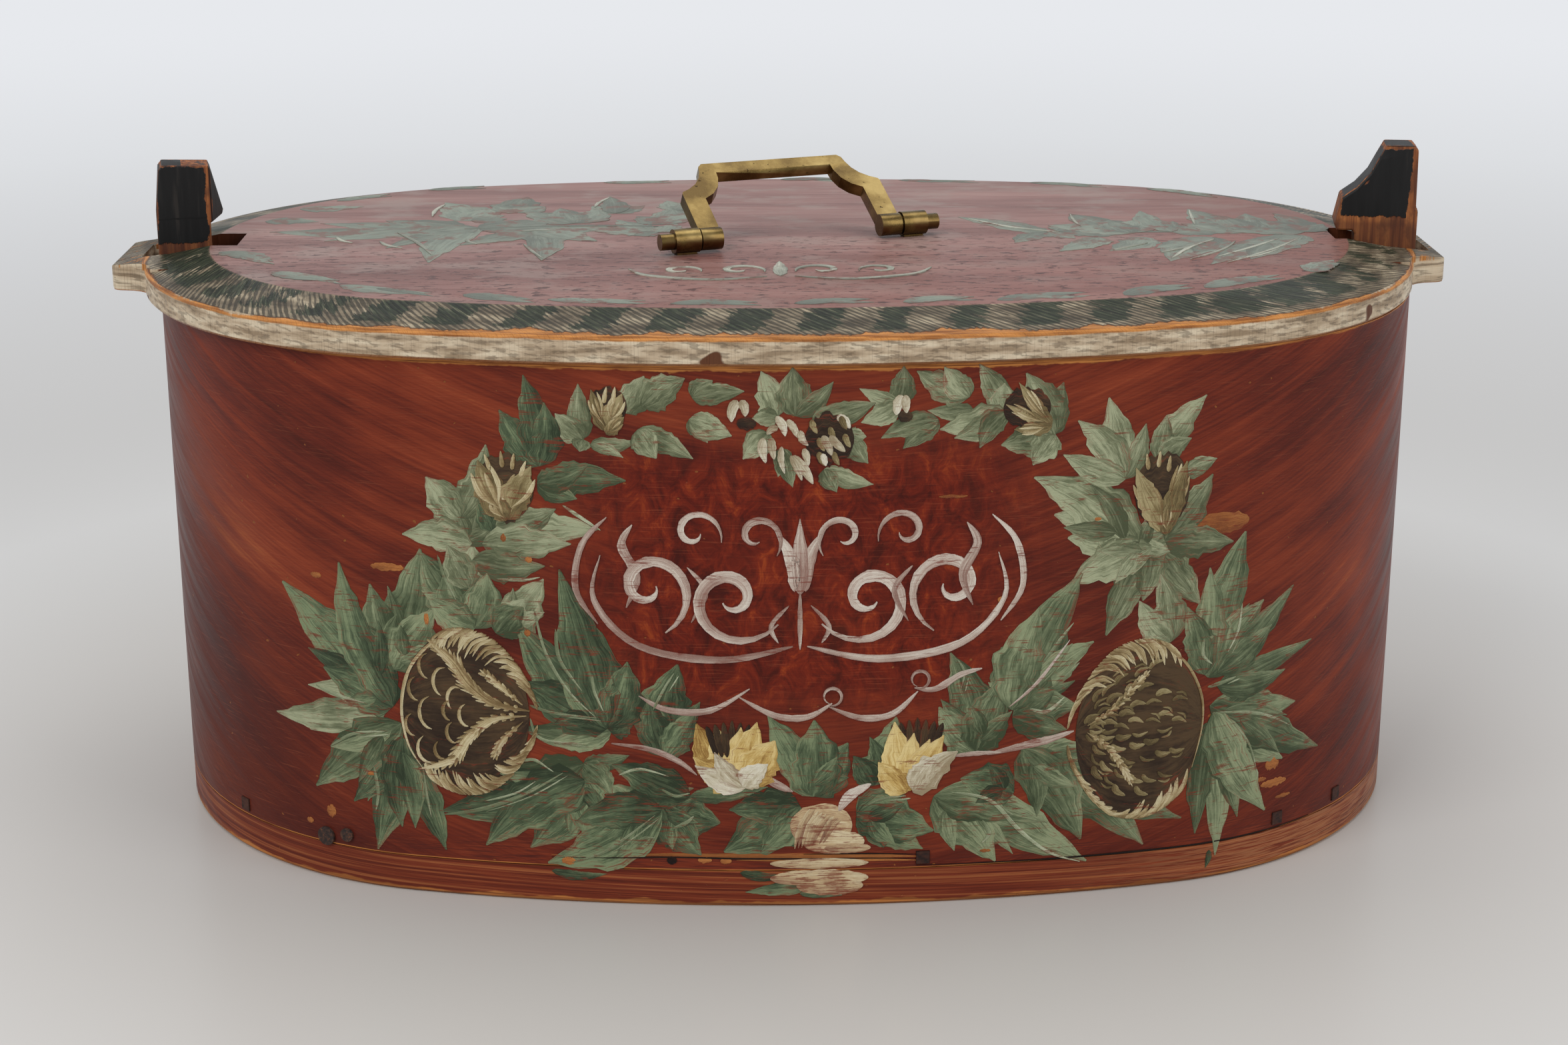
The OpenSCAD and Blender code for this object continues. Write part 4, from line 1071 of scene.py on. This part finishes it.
def half_scroll(way):
    """One half of the scroll, to the left or right of its middle."""
    def turned(*places):
        return [(SCROLL_S + way * x, SCROLL_Z + z) for x, z in places]

    def curl(x, z, start_r, end_r, start_a, end_a, width, fat=0.45):
        if way < 0:
            start_a, end_a = 180 - start_a, 180 - end_a
        spiral(scroll, turned((x, z))[0], start_r, end_r, start_a, end_a, width, fat)

    curl(19, -1, 15, 2.6, -150, 330, 3.4, 0.42)
    curl(42, 2, 14, 2.4, 250, -190, 3.1, 0.4)
    curl(12, 17, 8, 1.8, 225, -120, 1.9)
    curl(29, 18, 8, 1.8, 200, -170, 1.9)
    stroke(scroll, turned((2, -15), (22, -19), (45, -15), (57, -2), (55, 11)), 2.2, 0.4)
    stroke(scroll, turned((56, -9), (62, 1), (60, 14), (53, 22)), 1.9, 0.5)
    stroke(scroll, turned((48, -4), (45, 5), (49, 14), (46, 20)), 2.6, 0.5)
    stroke(scroll, turned((30, -8), (26, 1), (31, 8)), 1.6, 0.5)
    leaf(scroll, *turned((1.5, 1), (7, 19)), 4.0, 0.1 * way)
    stroke(scroll, turned((3, -3), (8, -9), (6, -14)), 1.4, 0.5)


for way in (-1, 1):
    half_scroll(way)
leaf(scroll, (SCROLL_S, SCROLL_Z), (SCROLL_S, SCROLL_Z + 22), 4.6, 0)
stroke(scroll, [(SCROLL_S, SCROLL_Z + 1), (SCROLL_S, SCROLL_Z - 8), (SCROLL_S, SCROLL_Z - 16)], 1.4, 0.5)

# A swag of scallops tied by small loops, under the scroll
SCALLOPS = [
    [(-44, 64), (-36, 60), (-24, 60), (-13, 66.5)], [(-16, 64), (-6, 58.5), (3, 58), (10, 62)],
    [(9, 61), (18, 57.5), (27, 58.5), (34, 65)], [(33, 66), (39, 65.5), (46, 69.5), (52, 71)],
]
for points in SCALLOPS:
    stroke(scroll, points, 1.9, 0.5)
for x, z in ((10, 64), (34.5, 68.5)):
    spiral(scroll, (x, z), 2.8, 2.2, -110, 250, 0.9)
for paint, name, material in ((scroll, "scrolls", scroll_paint), (ground, "bloom_hearts", brown_paint),
                              (olive, "olive_strokes", olive_paint), (cream, "petals", cream_paint),
                              (white, "white_petals", white_paint), (yellow, "yellow_buds", yellow_paint),
                              (rose, "rose", rose_paint)):
    paint.piece(name, material, "box", "side_paint")

# Bare wood and dark lines where the lower edge has split, and small losses
bare_wood = brush_paint("bare_wood", BARE_DARK, srgb(160, 98, 50), srgb(184, 120, 64), 0.04)
dark_gap = brush_paint("dark_gap", GAP, GAP, srgb(48, 28, 20), 0.0, dry=0.0)
losses = Paint(on_side, 0.05)
cracks = Paint(on_side, 0.16)
split = [(-70, 14.6), (-52, 15.2), (-35, 15.9), (-17, 15.7), (2, 15.6), (20, 15.4), (35, 14.7)]
stroke(losses, split, 1.7, 0.65)
stroke(losses, [(s, z - 1.2) for s, z in split[3:]], 1.0, 0.5)
stroke(cracks, [(s, z - 0.7) for s, z in split], 0.5, 0.5)
stroke(cracks, [(s, z + 0.7) for s, z in split[4:]], 0.35, 0.5)
stroke(cracks, [(34, 12.0), (70, 11.6), (110, 11.5), (160, 11.6)], 0.55, 0.6)
blob(cracks, (-35.4, 14.2), 1.4, 1.2, 0.1)
LOSSES = [
    (-115, 98.5, 5, 1.2), (-138, 93.5, 1.8, 0.8), (-137, 21.5, 1.6, 1.8), (-145, 17, 1.2, 0.8),
    (-75, 81.5, 0.9, 1), (-81, 109, 0.8, 1.1), (-74, 103, 1, 0.9), (-104, 84, 0.7, 1.8),
    (-123, 35.5, 1.5, 0.6), (-65, 13, 2, 1.2), (122, 78.5, 1.9, 2), (143, 32, 2.6, 1.8),
    (144, 26, 5, 1.2), (138, 28, 3, 0.7), (148, 21, 3, 0.6), (43, 121.5, 4, 0.5), (57, 91, 1, 0.9),
    (84, 113, 1, 0.5), (-52, 15.6, 3, 1), (-26, 14.4, 2, 0.9), (-20, 14.2, 1.6, 0.9),
    (54, 15.5, 1.6, 0.5),
]
for s, z, half_w, half_h in LOSSES:
    blob(losses, (s, z), half_w, half_h, 0.25)
losses.piece("worn_spots", bare_wood, "box", "side_paint")
cracks.piece("cracks", dark_gap, "box", "side_paint")
thin_glaze = Paint(on_side, 0.04)
for s, z, half_w, half_h in ((121, 109, 9, 3.2), (118, 107.5, 5, 2)):
    blob(thin_glaze, (s, z), half_w, half_h, 0.15)
ochre_glaze = brush_paint("ochre_glaze", srgb(110, 58, 30), srgb(142, 84, 42), srgb(160, 104, 56), 0.05)
thin_glaze.piece("thin_glaze", ochre_glaze, "box", "side_paint")

# Grey-green foliage on the lid, in the same form, and small curls at the front of the field
LID_LEAVES = [
    ((-100, 16), [(-160, 11, 18), (-146, 24, 12), (-126, 28, 13), (-141, -4, 12), (-121, -15, 9)]),
    ((-96, 16), [(-106, -36, 11), (-116, 6, 14), (-72, 24, 13), (-62, 6, 14)]),
    ((-78, 14), [(-73, -34, 11), (-99, -11, 11), (-58, -6, 12), (-88, -4, 11), (-50, 14, 10)]),
    ((-99, 27), [(-110, 58, 15), (-94, 47, 13), (-88, 30, 10)]),
    ((-85, 40), [(-84, 67, 14), (-94, 52, 10), (-77, 50, 10)]),
    ((-66, 22), [(-83, 40, 15), (-60, 44, 13), (-72, 47, 11)]),
    ((-54, 38), [(-57, 67, 8), (-62, 51, 9), (-45, 51, 9), (-52, 56, 7)]),
    ((-38, 20), [(-36, 47, 13), (-47, 33, 10), (-28, 36, 9)]),
    ((-35, 43), [(-38, 59, 9), (-27, 54, 8)]),
    ((-40, 7), [(-62, 12, 12), (-53, 27, 9), (-47, 2, 7), (-34, 20, 8)]),
    ((-164, 28), [(-147, 27, 9)]),
    ((-156, 48), [(-136, 52, 9)]),
    ((80, 3), [(55, 29, 10), (69, -12, 8), (88, -6, 8)]),
    ((84, 5), [(112, 6, 12), (95, 16, 11)]),
    ((106, 2), [(91, 33, 15), (82, 14, 11), (110, 22, 12), (102, 22, 12)]),
    ((119, 3), [(114, 37, 9), (122, 20, 10), (140, 6, 12)]),
    ((142, 2), [(130, 40, 14), (147, 32, 12), (124, 16, 12), (138, 28, 12)]),
    ((160, 2), [(156, 32, 10), (149, 20, 10), (168, 14, 8), (136, 4, 10)]),
    ((95, -5), [(81, -25, 9), (90, -19, 8)]),
    ((110, -5), [(96, -25, 11), (104, -18, 8)]),
    ((130, -5), [(112, -40, 15), (121, -28, 12), (110, -22, 8)]),
    ((158, -3), [(123, -45, 12), (136, -38, 13), (146, -22, 11), (134, -16, 9)]),
]
DABS = [
    (-170, -19, -152, -33, 9), (-150, -48, -129, -60, 8), (-128, -66, -101, -77, 8),
    (-92, -79, -72, -86, 8), (-68, -86, -41, -88, 6), (-34, -92, -10, -91, 6), (0, -93, 21, -88, 6),
    (30, -92, 50, -86, 7), (56, -90, 82, -81, 7), (92, -85, 112, -72, 8), (116, -76, 140, -60, 8),
    (150, -56, 160, -40, 9), (-60, 93, -38, 96, 5), (0, 97, 24, 97, 5), (40, 95, 66, 93, 5),
    (84, 89, 108, 83, 5), (-118, 81, -100, 88, 5), (-146, 62, -130, 74, 5), (122, 76, 142, 64, 5),
]
LID_LIGHTS = [
    [(-138, 2), (-136, -3), (-132, -7)], [(-124, -5), (-121, -11), (-116, -15)],
    [(-98, -2), (-97, -6), (-94, -10)], [(-82, 9), (-78, 11), (-73, 11)],
    [(-80, -10), (-77, -20), (-73, -31)], [(-61, 48), (-60, 56), (-57, 65)],
    [(-120, 8), (-112, -8), (-106, -26)], [(-112, 34), (-112, 44), (-110, 54)],
    [(109, -14), (103, -19), (97, -24)], [(130, -9), (121, -20), (113, -36)],
    [(136, -12), (130, -24), (118, -38)], [(125, -14), (118, -22), (111, -28)],
    [(156, -8), (145, -24), (128, -43)], [(150, -8), (140, -20), (127, -34)],
    [(147, -24), (139, -33), (130, -38)], [(128, 14), (129, 26), (130, 38)],
    [(92, 12), (91, 22), (91, 32)], [(84, 4), (70, 12), (58, 26)],
]
lid_green = brush_paint("lid_green", srgb(98, 102, 93), srgb(116, 122, 111), srgb(132, 139, 126), 0.09,
                        srgb(118, 84, 76), 0.85, 0.2)
lid_pale = brush_paint("lid_pale", srgb(126, 128, 116), srgb(158, 160, 146), srgb(188, 188, 172), 0.07,
                       srgb(118, 84, 76))
foliage = Paint(on_lid, 0.04)
outlines = Paint(on_lid, 0.22)
for base, leaves in LID_LEAVES:
    for tip_x, tip_y, width in leaves:
        leaf(foliage, base, (tip_x, tip_y), width * FULL_ON_LID)
for points in LID_LIGHTS:
    stroke(outlines, points, rng.uniform(0.9, 1.5), 0.5)
for x0, y0, x1, y1, width in DABS:
    leaf(foliage, (x0, y0), (x1, y1), width)
    leaf(foliage, (x0 + (x1 - x0) * 0.4, y0 + (y1 - y0) * 0.4), (x1 + 1, y1 - 4), width * 0.5)
for points in ([(-38, 16), (-66, 18), (-100, 14)], [(80, 4), (110, 4), (160, 2)]):
    stroke(foliage, points, 2.4, 0.5)
CURLS_X = -3
for way in (-1, 1):
    for x, r, width in ((12, 8, 2.2), (29, 6.5, 1.9)):
        turn = (200, -160) if way > 0 else (-20, 340)
        spiral(outlines, (CURLS_X + way * x, -49), r, 1.8, turn[0], turn[1], width)
    under = [(CURLS_X + way * x, y) for x, y in ((4, -58), (20, -62), (38, -56), (44, -47))]
    stroke(outlines, under, 1.9, 0.5)
leaf(outlines, (CURLS_X, -57), (CURLS_X, -37), 4.2, 0)
foliage.piece("lid_foliage", lid_green, "lid", "lid_paint")
outlines.piece("lid_outlines", lid_pale, "lid", "lid_paint")

# Camera
camera_data = bpy.data.cameras.new("camera")
camera_data.sensor_fit = "HORIZONTAL"
camera_data.sensor_width = SENSOR_W
camera_data.lens = FOCAL_PX / IMAGE_W * SENSOR_W
camera_data.clip_start = 0.01
camera_data.clip_end = 30
camera = bpy.data.objects.new("camera", camera_data)
bpy.context.scene.collection.objects.link(camera)
ahead = Vector((math.sin(CAMERA_YAW) * math.cos(CAMERA_PITCH), math.cos(CAMERA_YAW) * math.cos(CAMERA_PITCH),
                -math.sin(CAMERA_PITCH)))
right = Vector((math.cos(CAMERA_YAW), -math.sin(CAMERA_YAW), 0))
up = right.cross(ahead)
rolled_right = right * math.cos(CAMERA_ROLL) - up * math.sin(CAMERA_ROLL)
rolled_up = right * math.sin(CAMERA_ROLL) + up * math.cos(CAMERA_ROLL)
camera.matrix_world = Matrix.Translation(CAMERA_TARGET - ahead * CAMERA_AWAY) @ Matrix(
    (rolled_right, rolled_up, -ahead)).transposed().to_4x4()
bpy.context.scene.camera = camera


# A pale floor with painted shadow round the box, that fades into the backdrop's colour
FLOOR_R = 14.0
BACKDROP = srgb(231, 233, 237)


def pale_floor():
    turns = [math.radians(a) for a in range(0, 360, 6)]
    ring = [(FLOOR_R * math.cos(a), FLOOR_R * math.sin(a), 0.0) for a in turns]
    mesh = bpy.data.meshes.new("floor")
    mesh.from_pydata(ring, [], [list(range(len(ring)))])
    m = Shader("floor_with_painted_shadow", Roughness=0.3, Specular_IOR_Level=0.2)
    x, y, _ = m.split(m.coords)
    away = m.math("SQRT", m.add(m.times(x, x), m.times(y, y)))
    # Painted shadow: the floor's colour is darkest close round the box and lightest a little way out.
    m.look(m.ramp(m.step(away, 0.18, 0.6), (0.0, srgb(188, 184, 179)), (0.45, srgb(207, 206, 204)),
                  (1.0, srgb(196, 195, 193))))
    # Where the camera sees the floor further out, it glows in a grey that lightens to the backdrop's colour
    # with distance, a painted fall-off of the light.
    haze = m.tree.nodes.new("ShaderNodeEmission")
    fade = m.ramp(m.step(away, 0.25, 2.0), (0.0, srgb(196, 195, 194)), (0.3, srgb(209, 210, 212)),
                  (0.6, srgb(221, 223, 226)), (1.0, BACKDROP))
    m.set(haze.inputs["Color"], fade)
    seen = m.tree.nodes.new("ShaderNodeLightPath")
    blend = m.tree.nodes.new("ShaderNodeMixShader")
    far = m.step(m.add(away, m.times(y, 0.6)), 0.25, 0.85)
    m.set(blend.inputs[0], m.times(seen.outputs["Is Camera Ray"], far))
    m.set(blend.inputs[1], m.surface.outputs[0])
    m.set(blend.inputs[2], haze.outputs[0])
    output = next(node for node in m.tree.nodes if node.type == "OUTPUT_MATERIAL")
    m.set(output.inputs["Surface"], blend.outputs[0])
    mesh.materials.append(m.material)
    floor = bpy.data.objects.new("floor", mesh)
    bpy.context.scene.collection.objects.link(floor)


pale_floor()


# Soft studio light at a plain level
def softbox(name, place, size, watts, colour=(1.0, 1.0, 1.0)):
    data = bpy.data.lights.new(name, "AREA")
    data.shape = "RECTANGLE"
    data.size = size[0]
    data.size_y = size[1]
    data.energy = watts
    data.color = colour
    light = bpy.data.objects.new(name, data)
    light.location = place
    light.rotation_mode = "QUATERNION"
    light.rotation_quaternion = (Vector((0, 0, 0.08)) - Vector(place)).to_track_quat("-Z", "Y")
    bpy.context.scene.collection.objects.link(light)


softbox("key", (-1.3, -1.5, 1.7), (1.4, 1.4), 26)
softbox("fill", (1.7, -1.2, 1.2), (1.2, 1.6), 14)
softbox("top", (0.0, 0.5, 2.2), (2.0, 1.2), 16)

world = bpy.data.worlds.new("studio")
world.use_nodes = True
bpy.context.scene.world = world
world_nodes = world.node_tree.nodes
world_nodes.clear()
world_links = world.node_tree.links
light_sky = world_nodes.new("ShaderNodeBackground")
light_sky.inputs["Color"].default_value = (0.95, 0.97, 1.0, 1.0)
light_sky.inputs["Strength"].default_value = 0.62
seen_sky = world_nodes.new("ShaderNodeBackground")
seen_sky.inputs["Color"].default_value = BACKDROP
seen_sky.inputs["Strength"].default_value = 1.0
rays = world_nodes.new("ShaderNodeLightPath")
either = world_nodes.new("ShaderNodeMixShader")
sky_out = world_nodes.new("ShaderNodeOutputWorld")
world_links.new(rays.outputs["Is Camera Ray"], either.inputs[0])
world_links.new(light_sky.outputs[0], either.inputs[1])
world_links.new(seen_sky.outputs[0], either.inputs[2])
world_links.new(either.outputs[0], sky_out.inputs["Surface"])

bpy.context.scene.view_settings.view_transform = "Standard"
bpy.context.view_layer.update()
